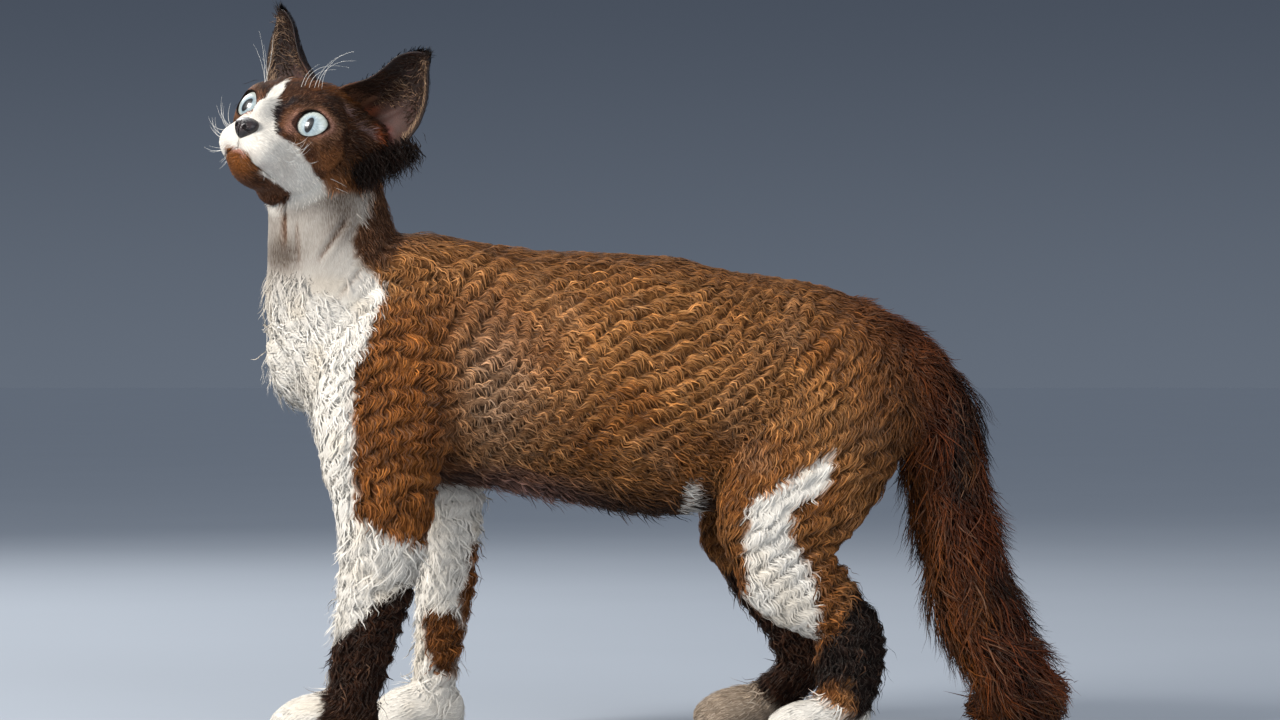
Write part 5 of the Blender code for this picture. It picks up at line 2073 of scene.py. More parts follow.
@dataclass
class Eye:
    """One eyeball with a slightly bulging clear front."""

    side: Side
    radius: float = EYE_RADIUS + 0.50
    bulge: float = 0.75
    bulge_angle: float = 46
    segments: int = 64
    toe_out: float = 8.4
    glance: float = 6.4  # how far both eyes look to the left
    lift: float = 2.5
    tilt: float = 24.0  # of the right eye
    behind: float = 20  # carries the back of the ball past the iris's pattern

    def build(self, material: bpy.types.Material) -> None:
        """Makes the eyeball.

        Args:
            material: its finish.
        """
        sign = self.side.value
        turn = np.array(
            Matrix.Rotation(math.radians(self.toe_out * sign + self.glance), 3, "Z")
            @ Matrix.Rotation(math.radians(-self.lift), 3, "Y")
            @ Matrix.Rotation(math.radians(-self.tilt * (sign < 0)), 3, "X")
        )
        falls = np.concatenate([np.linspace(2, 60, 30), np.linspace(66, 174, 16)])
        turns = FULL_TURN * np.arange(self.segments) / self.segments
        sections = []
        for fall in falls:
            a = math.radians(fall)
            reach = self.radius + self.bulge * max(0.0, 1 - (fall / self.bulge_angle) ** 2) ** 1.5
            ahead, wide = np.full(self.segments, math.cos(a)), math.sin(a)
            sections.append(reach * np.stack([ahead, wide * np.cos(turns), wide * np.sin(turns)], 1))
        ends = np.array([self.radius + self.bulge, 0, 0]), np.array([-self.radius, 0, 0])
        points, faces = tube(sections, *ends)
        centre = np.array(EYE_PLACE) * (1, sign, 1)
        name = f"eyeball_{self.side.name.lower()}"
        eye = mesh_object(name, HEAD.outward(points @ turn.T + centre), faces)
        outward_faces(eye)
        behind = points[:, 0] < 0
        gaze = np.stack([points[:, 1], points[:, 2], np.zeros(len(points))], 1)
        gaze[behind] += self.behind * np.sign(gaze[behind] + 1e-6)
        set_values(eye, "gaze", gaze)
        eye.data.shade_smooth()
        eye.data.materials.append(material)
        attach(eye, BODY)
        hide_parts(f"eye_{self.side.name.lower()}")
        LOG.info("%s: %d triangles", name, len(faces))


# ---------------------------------------------------------------- nose


@dataclass(frozen=True)
class LeatherFinish:
    """Moist, pebbled, nearly black leather."""

    name: str = "nose_leather"

    def material(self) -> bpy.types.Material:
        """Builds the material.

        Returns:
            The material.
        """
        paint = Paint(self.name)
        place = paint.place()
        pebbles = {"Vector": place, "Scale": 1500.0}
        cells = paint.node("ShaderNodeTexVoronoi", {"feature": "SMOOTH_F1"}, pebbles, "Distance")
        stain = paint.cloud(place, 260.0, 2.0)
        base = paint.blend(stain.rise(0.35, 0.7), rgba((22, 17, 17)), rgba((52, 38, 37)))
        base = paint.blend(cells.rise(0.3, 0.7) * 0.5, base, rgba((14, 11, 11)))
        return paint.finish(
            Base_Color=base,
            Roughness=0.42 - stain * 0.15,
            Normal=paint.relief(1 - cells, 0.25),
            Coat_Weight=0.25,
            Coat_Roughness=0.2,
        )


@dataclass
class Nose:
    """The leather of the nose: wide above, narrow below, with comma nostrils and a groove."""

    centre: Spot = (29.6, 0, -13.8)
    radii: Spot = (5.4, 6.9, 6.4)
    wedge: float = 0.35
    slope_from: float = 2.5  # height over its middle where the front starts to lean back
    slope_high: float = 3.0
    slope_back: float = 1.6
    nostril: tuple[Spot, Spot] = ((35, 3.0, -14), (2.6, 1.4, 1.5))
    wing: tuple[Spot, Spot] = ((33.6, 5.1, -15.2), (2.2, 1.5, 0.75))
    groove: tuple[Spot, ...] = ((35.2, 0, -10.5), (35.2, 0, -13.5), (34.6, 0, -16.5), (32.6, 0, -19.8))

    def build(self, material: bpy.types.Material) -> None:
        """Makes the nose.

        Args:
            material: its finish.
        """
        nose = ball("nose_leather", (0, 0, 0), self.radii, 44)
        points = arrays_of(nose)[0]
        points[:, 1] *= 1 + self.wedge * points[:, 2] / self.radii[2]
        top = np.clip((points[:, 2] - self.slope_from) / self.slope_high, 0, 1)
        points[:, 0] -= self.slope_back * top
        set_points(nose, points + np.array(self.centre))
        for centre, radii in (self.nostril, self.wing):
            for side in Side:
                boolean(nose, ball("hole", np.array(centre) * (1, side.value, 1), radii, 20), "DIFFERENCE")
        line = [(*spot, 0.5, 1.0, 0) for spot in self.groove]
        boolean(nose, loft("cut", line, 1, 8, 4), "DIFFERENCE")
        set_points(nose, HEAD.outward(arrays_of(nose)[0]))
        nose.data.shade_smooth()
        nose.data.materials.clear()
        nose.data.materials.append(material)
        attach(nose, BODY)
        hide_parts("nose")
        LOG.info("nose: %d faces", len(nose.data.polygons))


# ---------------------------------------------------------------- ears


@dataclass(frozen=True)
class EarFinish:
    """Thin ear skin with its stored tint, fine veins and light that comes through."""

    name: str = "ear_skin"

    def material(self) -> bpy.types.Material:
        """Builds the material.

        Returns:
            The material.
        """
        paint = Paint(self.name)
        place = paint.place()
        down = paint.cloud(place, 1400.0, 2.0, 0.6)
        vein = paint.cloud(place, 150.0, 3.0)
        tint = paint.stored("tint", "Color")
        dark = paint.blend(1.0, tint, rgba((130, 108, 102)), "MULTIPLY")
        base = paint.blend(down.rise(0.35, 0.7) * 0.4, tint, dark)
        base = paint.blend(vein.rise(0.55, 0.75) * 0.2, base, rgba((84, 40, 36)))
        return paint.finish(
            Base_Color=base,
            Roughness=0.55 + down * 0.15,
            Normal=paint.relief(down + vein * 0.6, 0.18),
            Specular_IOR_Level=0.3,
            Subsurface_Weight=0.1,
            Subsurface_Scale=0.002,
        )


@dataclass(frozen=True)
class EarHair:
    """One growth of hair on an ear: where, how much, how long and which way."""

    shares: tuple[float, float]
    turns: tuple[float, float]
    inside: bool
    count: int
    length: float
    width: float
    lift: float
    curl: float
    way: tuple[float, float]  # to the tip and to the crown's edge
    colour: Spot


EAR_HAIR = [
    EarHair((-0.1, 0.97), (-0.97, 0.97), False, 900, 5.4, 0.45, 0.9, 0.4, (1.0, 0.3), (40, 24, 17)),
    EarHair((0.08, 0.90), (-0.99, -0.86), True, 190, 4.5, 0.20, 1.1, 0.5, (0.9, 0.5), (166, 138, 112)),
    EarHair((0.35, 0.93), (-0.7, 0.6), True, 60, 7.0, 0.18, 1.8, 1.4, (0.5, -0.6), (146, 118, 94)),
    EarHair((0.2, 0.95), (-0.8, 0.9), True, 400, 5.0, 0.45, 0.8, 0.6, (0.9, -0.3), (44, 28, 20)),
    EarHair((-0.3, 0.45), (0.35, 1.0), True, 560, 6.0, 0.55, 0.8, 0.5, (0.9, -0.35), (58, 36, 24)),
    EarHair((0.12, 0.9), (0.45, 0.97), True, 160, 7.0, 0.45, 1.2, 0.9, (0.8, -0.8), (44, 28, 21)),
    EarHair((0.1, 0.5), (0.0, 0.7), True, 40, 8.0, 0.18, 2.2, 1.6, (0.3, -0.8), (140, 112, 86)),
    EarHair((0.90, 0.985), (-0.9, 0.9), False, 90, 6.5, 0.3, 0.8, 0.4, (1.0, 0.05), (30, 21, 18)),
    EarHair((0.93, 0.99), (-0.6, 0.6), True, 40, 7.0, 0.3, 0.6, 0.4, (1.0, 0.05), (30, 21, 18)),
]


@dataclass(frozen=True)
class Curl:
    """The size, bend and colour of the tufts of one growth on an ear."""

    length: float
    width: float
    swing: float
    turns: float
    colour: Spot


SCRUFF = Curl(11.5, 0.6, 1.9, 1.1, (34, 20, 14))


@dataclass(frozen=True)
class Ridge:
    """One ridge on the inner face of the ear."""

    height: float
    middle: float  # place across, at the ear's base
    slant: float  # how far it moves across from the base to the tip
    width: float
    ends: tuple[float, float]  # shares of the ear's height where it starts and where it has its full height


RIDGES = [
    Ridge(1.2, 0.42, 0.25, 0.09, (0.42, 0.1)),
    Ridge(0.6, 0.74, 0.0, 0.10, (0.25, 0.0)),
    Ridge(2.6, -0.55, 0.0, 0.12, (0.12, -0.06)),
    Ridge(0.5, -0.1, -0.3, 0.06, (0.8, 0.4)),
]


@dataclass
class Ear:
    """One ear: a thin cup with folds inside, fine down on its back and curly hair within."""

    side: Side
    base: Spot = (-27, 29.5, 18)
    tip: Spot = (-22.6, 55.6, 60)
    across: Spot = (20, -32, 22.5)
    shape: tuple[tuple[float, float, float, float], ...] = (
        (-0.3, 22, 17, 17),
        (0.0, 23, 23.5, 17),
        (0.3, 15.5, 24, 13),
        (0.53, 13, 20.5, 9.5),
        (0.72, 12, 14.5, 6.5),
        (0.86, 8.8, 7.5, 4),
        (0.96, 4.6, 3.4, 1.5),
        (1.0, 1.2, 1.2, 0.6),
    )
    columns: int = 41
    steps: int = 8
    thickness: float = 1.3
    hair_rings: int = 5
    stray: float = 0.3  # of a hair's direction
    sunk: float = 0.2  # depth of the roots in the wall
    turns: float = 0.9  # curls in the length of a hair
    scruff_count: int = 1150
    scruff_line: tuple[Spot, Spot] = ((-24, 38, -11), (-38, 53, 14))
    scruff_way: Spot = (-0.35, 0.35, -0.85)
    scruff_spread: float = 3.0
    scruff_stray: float = 0.22
    scruff_bulge: float = 3.0
    scruff_facing: Spot = (0.2, 0.9, 0.3)
    probe: float = 0.01  # how far apart two places are that give a direction
    draw: np.random.Generator = field(default_factory=lambda: np.random.default_rng(SEED + 5))

    def sheet(self, shares: np.ndarray, turns: np.ndarray) -> np.ndarray:
        """Places on the middle of the ear's wall.

        Args:
            shares: heights, from 0 at the base to 1 at the tip.
            turns: from -1 at the cheek's edge to 1 at the crown's.

        Returns:
            Points of the head's frame.
        """
        base, tip = np.array(self.base), np.array(self.tip)
        height = np.linalg.norm(tip - base)
        axis = (tip - base) / height
        across = unit(np.array(self.across) - np.dot(self.across, axis) * axis)
        behind = np.cross(across, axis)
        rows = smooth_rows(self.shape, self.steps)
        inner, outer, depth = (np.interp(shares, rows[:, 0], rows[:, k]) for k in (1, 2, 3))
        shift = inner * (1 + turns) / 2 - outer * (1 - turns) / 2
        curl = 1.6 * np.clip(-turns - 0.8, 0, 1) * 5 * step(0.0, 0.3, shares) * step(0.95, 0.7, shares)
        depth = depth * (1 - turns**2) - curl * 0.5
        points = base + axis * (shares * height)[:, None] + across * shift[:, None] + behind * depth[:, None]
        return points * (1, self.side.value, 1)

    def ways(self, shares: np.ndarray, turns: np.ndarray) -> tuple[np.ndarray, np.ndarray]:
        """Finds how the wall runs.

        Args:
            shares: heights.
            turns: places across.

        Returns:
            Directions along the wall, to the tip and to the crown's edge.
        """
        up = self.sheet(shares + self.probe, turns) - self.sheet(shares - self.probe, turns)
        return up, self.sheet(shares, turns + self.probe) - self.sheet(shares, turns - self.probe)

    def facing(self, shares: np.ndarray, turns: np.ndarray) -> np.ndarray:
        """Unit normals of the wall, towards the back of the ear."""
        up, wide = self.ways(shares, turns)
        return unit(np.cross(wide, up)) * self.side.value

    def tint(
        self, shares: np.ndarray, turns: np.ndarray, inside: np.ndarray, place: np.ndarray
    ) -> np.ndarray:
        """Linear colours of the ear, with painted shade in the cup and a spot of painted light near its base.

        Args:
            shares: heights.
            turns: places across.
            inside: 1 on the inner face and 0 on the back.
            place: points, for the noise.

        Returns:
            A colour for each point.
        """
        count = len(shares)

        def spot(s: float, u: float, ds: float, du: float) -> np.ndarray:
            """A soft spot on the inner face."""
            return np.exp(-(((shares - s) / ds) ** 2) - ((turns - u) / du) ** 2)

        back = np.tile(linear((30, 20, 17)), (count, 1))
        back = towards(0.5 * step(0.5, 0.0, shares), back, Tone.MASK)
        inner = np.tile(linear((66, 46, 38)), (count, 1))
        # Painted shade: the inner face is darkened towards the tip and towards the crown's edge, where the
        # cup lies in shade.
        inner = towards(step(0.22, 0.62, shares) * 0.85, inner, Tone.SEAL)
        inner = towards(0.85 * step(0.0, 0.7, turns) * step(0.12, 0.32, shares), inner, Tone.SEAL)
        inner += (0.7 * spot(0.12, -0.28, 0.18, 0.30))[:, None] * (linear((106, 78, 72)) - inner)
        inner = towards(0.8 * step(0.3, 0.5, turns) * step(0.3, 0.1, shares), inner, Tone.MASK)
        # Painted light: a warm orange spot low in the cup, where light falls on it.
        inner += (0.7 * spot(-0.06, 0.22, 0.12, 0.14))[:, None] * (linear((150, 76, 42)) - inner)
        inner += (0.8 * spot(-0.06, -0.5, 0.08, 0.22))[:, None] * (linear((160, 92, 80)) - inner)
        inner = towards(0.9 * step(0.86, 0.97, np.abs(turns)) * step(0.1, 0.25, shares), inner, Tone.SEAL)
        inner = towards(0.35 * noise(place, 6, 31), inner, Tone.SEAL)
        return back * (1 - inside)[:, None] + inner * inside[:, None]

    def folds(self, shares: np.ndarray, turns: np.ndarray) -> np.ndarray:
        """Raises the ridges on the inner face.

        Args:
            shares: heights.
            turns: places across.

        Returns:
            Their height at each place, in millimetres.
        """
        total = np.zeros(len(shares))
        for ridge in RIDGES:
            far = (turns - ridge.middle - ridge.slant * shares) / ridge.width
            total += ridge.height * np.exp(-(far**2)) * step(*ridge.ends, shares)
        return total

    def wall(self, material: bpy.types.Material) -> None:
        """Makes the ear's two faces and its rim as one closed mesh.

        Args:
            material: its finish.
        """
        rows = smooth_rows(self.shape, self.steps)[:, 0]
        rows[-1] = 0.999
        across = np.linspace(-1, 1, self.columns)
        shares, turns = (g.ravel() for g in np.meshgrid(rows, across, indexing="ij"))
        middle, facing = self.sheet(shares, turns), self.facing(shares, turns)
        half = self.thickness / 2 * (1 - 0.45 * np.abs(turns) ** 6)[:, None]
        outer = middle + facing * half
        inner = middle - facing * half - facing * self.folds(shares, turns)[:, None]
        count, wide = len(shares), self.columns
        faces = []
        for i in range(len(rows) - 1):
            for k in range(wide - 1):
                a = i * wide + k
                b, c, d = a + 1, a + wide + 1, a + wide
                faces += [(a, b, c), (a, c, d)]
                faces += [(count + a, count + c, count + b), (count + a, count + d, count + c)]
        rim = [i * wide for i in range(len(rows))] + [(len(rows) - 1) * wide + k for k in range(1, wide)]
        rim += [i * wide + wide - 1 for i in range(len(rows) - 2, -1, -1)] + list(range(wide - 2, 0, -1))
        for a, b in zip(rim, rim[1:] + rim[:1]):
            faces += [(a, b, count + b), (a, count + b, count + a)]
        points = np.vstack([outer, inner])
        name = f"ear_wall_{self.side.name.lower()}"
        ear = mesh_object(name, HEAD.outward(points), np.array(faces))
        outward_faces(ear)
        inside = np.concatenate([np.zeros(count), np.ones(count)])
        both = np.concatenate([shares, shares]), np.concatenate([turns, turns])
        set_values(ear, "tint", self.tint(*both, inside, points))
        ear.data.shade_smooth()
        ear.data.materials.append(material)
        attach(ear, BODY)
        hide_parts(f"ear_{self.side.name.lower()}")
        LOG.info("%s: %d triangles", name, len(faces))

    def hair(self, coat: Coat, material: bpy.types.Material) -> None:
        """Grows down on the back, curly hair within and a mass of curls below the ear.

        Args:
            coat: what makes the tufts' mesh.
            material: their finish.
        """
        groups = [self.growth(plan, coat) for plan in EAR_HAIR] + [self.scruff(coat)]
        values = {key: np.concatenate([g[key] for g in groups]) for key in groups[0]}
        points = values.pop("points")
        coat.piece(f"ear_hair_{self.side.name.lower()}", points, values, material)

    def growth(self, plan: EarHair, coat: Coat) -> dict[str, np.ndarray]:
        """Shapes the tufts of one growth.

        Args:
            plan: the growth.
            coat: what gives the tufts their sections.

        Returns:
            Points and values of the tufts.
        """
        shares = self.draw.uniform(*plan.shares, plan.count)
        turns = self.draw.uniform(*plan.turns, plan.count)
        place, facing = self.sheet(shares, turns), self.facing(shares, turns)
        normal = -facing if plan.inside else facing
        up, wide = (unit(way) for way in self.ways(shares, turns))
        stray = self.draw.normal(0, self.stray, (plan.count, 2))
        run = unit(up * (plan.way[0] + stray[:, :1]) + wide * (plan.way[1] + stray[:, 1:]))
        base = place + normal * (self.thickness / 2 - self.sunk)
        t = np.linspace(0, 1, self.hair_rings)
        bulge = normal[:, None] * (plan.lift * np.sin(math.pi * 0.7 * t))[None, :, None]
        root = np.stack([(turns + 1) / 4 + 0.5 * plan.inside, shares], 1)
        curl = Curl(plan.length, plan.width, plan.curl, self.turns, plan.colour)
        return self.tufts(base, run, normal, bulge, curl, root, coat)

    def scruff(self, coat: Coat) -> dict[str, np.ndarray]:
        """Shapes the dark curls that hang from the ear's lower edge and the cheek behind it.

        Args:
            coat: what gives the tufts their sections.

        Returns:
            Points and values of the tufts.
        """
        side, count = np.array([1, self.side.value, 1]), self.scruff_count
        share = self.draw.random((count, 1))
        low, high = (np.array(end, float) for end in self.scruff_line)
        base = (low + (high - low) * share + self.draw.normal(0, self.scruff_spread, (count, 3))) * side
        fall = np.array(self.scruff_way) + self.draw.normal(0, self.scruff_stray, (count, 3))
        run, normal = unit(fall * side), unit(np.tile(np.array(self.scruff_facing), (count, 1)) * side)
        t = np.linspace(0, 1, self.hair_rings)
        bulge = normal[:, None] * (self.scruff_bulge * np.sin(math.pi * 0.8 * t))[None, :, None]
        root = np.concatenate([share, share], 1)
        return self.tufts(base, run, normal, bulge, SCRUFF, root, coat)

    def tufts(
        self,
        base: np.ndarray,
        run: np.ndarray,
        normal: np.ndarray,
        bulge: np.ndarray,
        curl: Curl,
        root: np.ndarray,
        coat: Coat,
    ) -> dict[str, np.ndarray]:
        """Shapes tufts that run straight on from their roots with a curl from side to side.

        Args:
            base: their roots in the head's frame.
            run: their directions.
            normal: their outer sides.
            bulge: how far each step stands off.
            curl: their size, bend and colour.
            root: their places on the bake map.
            coat: what gives the tufts their sections.

        Returns:
            Points and values of the tufts.
        """
        count, t = len(base), np.linspace(0, 1, self.hair_rings)
        long = curl.length * self.draw.uniform(0.55, 1.3, count)
        line = base[:, None] + run[:, None] * (long[:, None] * t)[:, :, None] + bulge
        turn = self.draw.uniform(0, FULL_TURN, count)[:, None] + FULL_TURN * curl.turns * t
        line += np.cross(normal, run)[:, None] * (curl.swing * np.sin(turn) * t)[:, :, None]
        line += normal[:, None] * (0.6 * curl.swing * np.cos(turn) * t)[:, :, None]
        girth = np.tile(curl.width / 2 * np.clip(0.6 + 2 * t, 0, 1) * (1 - t**2) ** 0.7, (count, 1))
        outer = np.repeat(normal[:, None], len(t), 1)
        points, normals = coat.section(line, outer, outer, girth, 0.5, 0.35)
        bright = np.exp(self.draw.normal(0, 0.3, count))[:, None, None, None]
        fine = self.draw.uniform(0, 40, (count, 1))
        return {
            "points": HEAD.outward(points),
            "normal": normals @ HEAD.turn().T,
            "tint": linear(curl.colour) * bright * np.ones((count, len(t), 3, 1)),
            "strand": coat.strand(fine, curl.width, long[:, None] * t),
            "root": root,
        }


# ---------------------------------------------------------------- whiskers and claws


@dataclass(frozen=True)
class WhiskerFinish:
    """Stiff white hair with a faint sheen."""

    name: str = "whisker_hair"
    colour: Spot = (244, 240, 232)

    def material(self) -> bpy.types.Material:
        """Builds the material.

        Returns:
            The material.
        """
        paint = Paint(self.name)
        grain = paint.cloud(paint.place(), 900.0, 2.0)
        base = paint.blend(grain.rise(0.3, 0.7), rgba(self.colour), rgba([0.86 * c for c in self.colour]))
        return paint.finish(Base_Color=base, Roughness=0.35 + grain * 0.2, Specular_IOR_Level=0.6)


class Net(Tree):
    """A Geometry Nodes tree with named inputs, which shapes one object and is then taken off."""

    def __init__(self, name: str) -> None:
        """Starts a tree with a geometry in and out.

        Args:
            name: name of the tree.
        """
        self.tree = bpy.data.node_groups.new(name, "GeometryNodeTree")
        self.tree.interface.new_socket("Geometry", in_out="INPUT", socket_type="NodeSocketGeometry")
        self.tree.interface.new_socket("Geometry", in_out="OUTPUT", socket_type="NodeSocketGeometry")
        self.entry, self.exit = (self.tree.nodes.new(f"NodeGroup{end}") for end in ("Input", "Output"))
        self.values: dict[str, Any] = {}

    def size(self, name: str, value: Any, kind: str = "NodeSocketFloat") -> Wire:
        """Adds a named input.

        Args:
            name: its name.
            value: what it is set to.
            kind: its type of socket.

        Returns:
            The input.
        """
        socket = self.tree.interface.new_socket(name, in_out="INPUT", socket_type=kind)
        self.values[socket.identifier] = value
        return Wire(self, self.entry.outputs[name])

    def shape(self, obj: bpy.types.Object, last: Wire, finish: bpy.types.Material) -> None:
        """Ends the tree, runs it on an object and keeps the result as its mesh.

        Args:
            obj: the object that holds the points.
            last: the geometry that the tree makes.
            finish: the material.
        """
        chosen = self.size("Finish", finish, "NodeSocketMaterial")
        real = self.node("GeometryNodeRealizeInstances", {}, {"Geometry": last})
        smooth = self.node("GeometryNodeSetShadeSmooth", {}, {"Geometry": real})
        dressed = self.node("GeometryNodeSetMaterial", {}, {"Geometry": smooth, "Material": chosen})
        self.join(self.exit.inputs[0], dressed)
        modifier = obj.modifiers.new("net", "NODES")
        modifier.node_group = self.tree
        for identifier, value in self.values.items():
            modifier[identifier] = value
        apply_modifiers(obj)


def round_out(obj: bpy.types.Object, name: str, sides: int, finish: bpy.types.Material) -> None:
    """Gives an object's bare lines a round section of their stored girth.

    Args:
        obj: the object that holds the lines.
        name: name of the tree.
        sides: corners of the section.
        finish: the material.
    """
    net = Net(name)
    curve = net.node("GeometryNodeMeshToCurve", {}, {"Mesh": Wire(net, net.entry.outputs[0])})
    sizes = {"Resolution": sides, "Radius": net.size("Width", 1.0)}
    ring = net.node("GeometryNodeCurvePrimitiveCircle", {}, sizes)
    girth = net.node("GeometryNodeInputNamedAttribute", {"data_type": "FLOAT"}, {"Name": "girth"})
    parts = {"Curve": curve, "Profile Curve": ring, "Scale": girth, "Fill Caps": True}
    net.shape(obj, net.node("GeometryNodeCurveToMesh", {}, parts), finish)


def line_object(name: str, lines: list[np.ndarray], girths: list[np.ndarray]) -> bpy.types.Object:
    """Makes an object of bare lines with a girth at each point.

    Args:
        name: name of the object.
        lines: points of each line in the cat's frame.
        girths: half widths in millimetres.

    Returns:
        The object.
    """
    points, edges = [], []
    for line in lines:
        first = len(points)
        points += to_world(line).tolist()
        edges += [(first + i, first + i + 1) for i in range(len(line) - 1)]
    mesh = bpy.data.meshes.new(name)
    mesh.from_pydata(points, edges, [])
    girth = mesh.attributes.new("girth", "FLOAT", "POINT")
    girth.data.foreach_set("value", (np.concatenate(girths) * MM).astype(np.float32))
    obj = bpy.data.objects.new(name, mesh)
    bpy.context.scene.collection.objects.link(obj)
    return obj


@dataclass(frozen=True)
class Fan:
    """A row of whiskers on one side of the head, from its first root to its last."""

    first: Spot
    last: Spot
    count: int
    way: Spot
    bend: Spot
    lengths: tuple[float, float]
    sides: tuple[int, ...] = (1, -1)


FANS = [
    Fan((15, 21, -13), (9, 26, -16), 4, (0.2, 0.9, -0.2), (-0.5, -0.9, 2.4), (9, 15), (1,)),
    Fan((16, 22, -17), (8, 27, -20), 5, (0.2, 0.95, -0.3), (-0.4, -0.8, 2.2), (9, 16), (1,)),
    Fan((15, 21, -21), (9, 25, -24), 4, (0.1, 0.9, -0.5), (-0.4, -0.6, 1.8), (7, 12), (1,)),
    Fan((22, 15, -15), (15, 21, -16), 5, (0.3, 0.9, 0.1), (-0.3, -0.5, 1.9), (12, 20), (-1,)),
    Fan((23, 15, -20), (15, 21, -21), 6, (0.3, 0.95, -0.2), (-0.2, -0.4, 1.6), (12, 20), (-1,)),
    Fan((22, 14, -25), (15, 19, -26), 4, (0.3, 0.9, -0.6), (-0.2, 0.2, 1.0), (8, 15), (-1,)),
    Fan((20, 12, -28), (13, 17, -31), 5, (0.1, 0.3, -1.0), (-0.2, 0.5, 0.1), (4, 8)),
    Fan((6, 5, 20), (-3, 11, 22), 6, (0.2, -0.05, 1.0), (-0.8, 1.3, -0.6), (16, 32), (1,)),
    Fan((5, 20, 15), (-1, 26, 14), 5, (0.3, 0.1, 1.0), (-0.3, 0.9, -0.3), (16, 34), (-1,)),
    Fan((-12, 33, -20), (-18, 33, -26), 2, (-0.2, 1.0, -0.1), (-0.8, 0.0, -0.2), (8, 12)),
]


@dataclass
class Whiskers:
    """Whiskers of the muzzle, brows and cheeks, each curving along its own arc."""

    draw: np.random.Generator = field(default_factory=lambda: np.random.default_rng(SEED + 9))
    thick: float = 0.12
    thin: float = 0.03
    steps: int = 18
    spread: float = 0.8  # of the roots
    stray: float = 0.10  # of the first direction
    bends: tuple[float, float] = (0.5, 1.3)  # shares of the fan's bend
    rooted: float = 0.8  # depth of the roots

    def arc(self, root: Spot, way: Spot, bend: Spot, length: float) -> np.ndarray:
        """One whisker as a curve of the head's frame, carried to the cat's.

        Args:
            root: where it leaves the skin.
            way: its first direction.
            bend: how its direction changes over its length.
            length: its length.

        Returns:
            Its points.
        """
        spot, found = np.array(root, float), []
        for t in np.linspace(0, 1, self.steps):
            found.append(spot.copy())
            spot = spot + unit(np.array(way) + np.array(bend) * t) * length / (self.steps - 1)
        return HEAD.outward(np.array(found))

    def plans(self) -> list[tuple[Spot, Spot, Spot, float]]:
        """Lists the whiskers of both sides.

        Returns:
            Root, direction, bend and length of each, in the head's frame.
        """
        found = []
        for side in (1, -1):
            mirror = np.array([1, side, 1])
            for fan in (fan for fan in FANS if side in fan.sides):
                for share in np.linspace(0, 1, fan.count):
                    root = np.array(fan.first) * (1 - share) + np.array(fan.last) * share
                    root = root + self.draw.normal(0, self.spread, 3)
                    way = np.array(fan.way) + self.draw.normal(0, self.stray, 3)
                    bend = np.array(fan.bend) * self.draw.uniform(*self.bends)
                    length = self.draw.uniform(*fan.lengths)
                    found.append((root * mirror, way * mirror, bend * mirror, length))
        return found

    def build(self, hide_tree: BVHTree, material: bpy.types.Material) -> None:
        """Makes all whiskers.

        Args:
            hide_tree: the head's surface, which their roots are set on.
            material: their finish.
        """
        lines, girths = [], []
        for root, way, bend, length in self.plans():
            near = hide_tree.find_nearest(Vector(HEAD.outward(np.array([root], float))[0]))[0]
            settled = HEAD.inward(np.array([near], float))[0] - unit(np.array(way)) * self.rooted
            lines.append(self.arc(tuple(settled), way, bend, length))
            girths.append(np.linspace(self.thick, self.thin, self.steps))
        obj = line_object("whiskers", lines, girths)
        round_out(obj, "whisker_net", 5, material)
        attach(obj, BODY)
        LOG.info("whiskers: %d hairs, %d faces", len(lines), len(obj.data.polygons))


@dataclass(frozen=True)
class HornFinish:
    """Pale, slightly clear horn of the claws."""

    name: str = "claw_horn"

    def material(self) -> bpy.types.Material:
        """Builds the material.

        Returns:
            The material.
        """
        paint = Paint(self.name)
        grain = paint.cloud(paint.stretch(paint.place(), (1.0, 3.0, 3.0)), 500.0, 2.0)
        base = paint.blend(grain.rise(0.3, 0.7), rgba((206, 178, 160)), rgba((150, 118, 102)))
        rough = 0.28 + grain * 0.15
        return paint.finish(Base_Color=base, Roughness=rough, Coat_Weight=0.3, Coat_Roughness=0.15)


@dataclass
class Claws:
    """The tips of the claws, which show between the toes' hair."""

    length: float = 4.2
    drop: float = 2.6  # of the tip below the root
    girth: float = 0.8
    tip: float = 0.08  # half width of the tip
    height: float = 5.2
    ahead: float = 5.2  # of the root before the toe's middle
    steps: int = 7

    def build(self, material: bpy.types.Material) -> None:
        """Makes one short curved claw for each toe.

        Args:
            material: their finish.
        """
        lines, girths = [], []
        t = np.linspace(0, 1, self.steps)
        drop = np.stack([-t * self.length, 0 * t, -self.drop * t**2], 1)
        for toe in toes_of_paws():
            lines.append(np.array((toe.ahead - self.ahead + toe.back, toe.aside, self.height)) + drop)
            girths.append(self.girth * (1 - t) ** 0.7 + self.tip)
        obj = line_object("claws", lines, girths)
        round_out(obj, "claw_net", 8, material)
        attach(obj, BODY)
        LOG.info("claws: %d", len(lines))


# ---------------------------------------------------------------- studio


@dataclass(frozen=True)
class FloorFinish:
    """Plain pale paper."""

    name: str = "studio_floor"

    def material(self) -> bpy.types.Material:
        """Builds the material.

        Returns:
            The material.
        """
        paint = Paint(self.name)
        grain = paint.cloud(paint.place(), 3.0, 2.0)
        base = paint.blend(grain, rgba((152, 159, 168)), rgba((157, 164, 173)))
        return paint.finish(Base_Color=base, Roughness=0.85 + grain * 0.05)


class Air(Paint):
    """The studio round the cat: a plain backdrop, paler towards the floor, below a soft bright ceiling."""

    def __init__(self, world: bpy.types.World) -> None:
        """Starts with the world's own background."""
        self.tree = world.node_tree
        self.shader = self.tree.nodes["Background"]

    def fill(self) -> None:
        """Colours it by height."""
        _, _, height = self.parts(self.node("ShaderNodeTexCoord", {}, {}, "Generated"))
        wall = self.blend(height.rise(-0.03, 0.11), rgba((102, 111, 124)), rgba((68, 76, 89)))
        whole = self.blend(height.rise(0.12, 0.75), wall, rgba((170, 178, 190)))
        self.join(self.shader.inputs["Color"], whole)


@dataclass(frozen=True)
class Lamp:
    """One soft square light."""

    name: str
    place: Spot  # in metres, as the size
    size: float
    power: float  # in watts
    colour: Spot


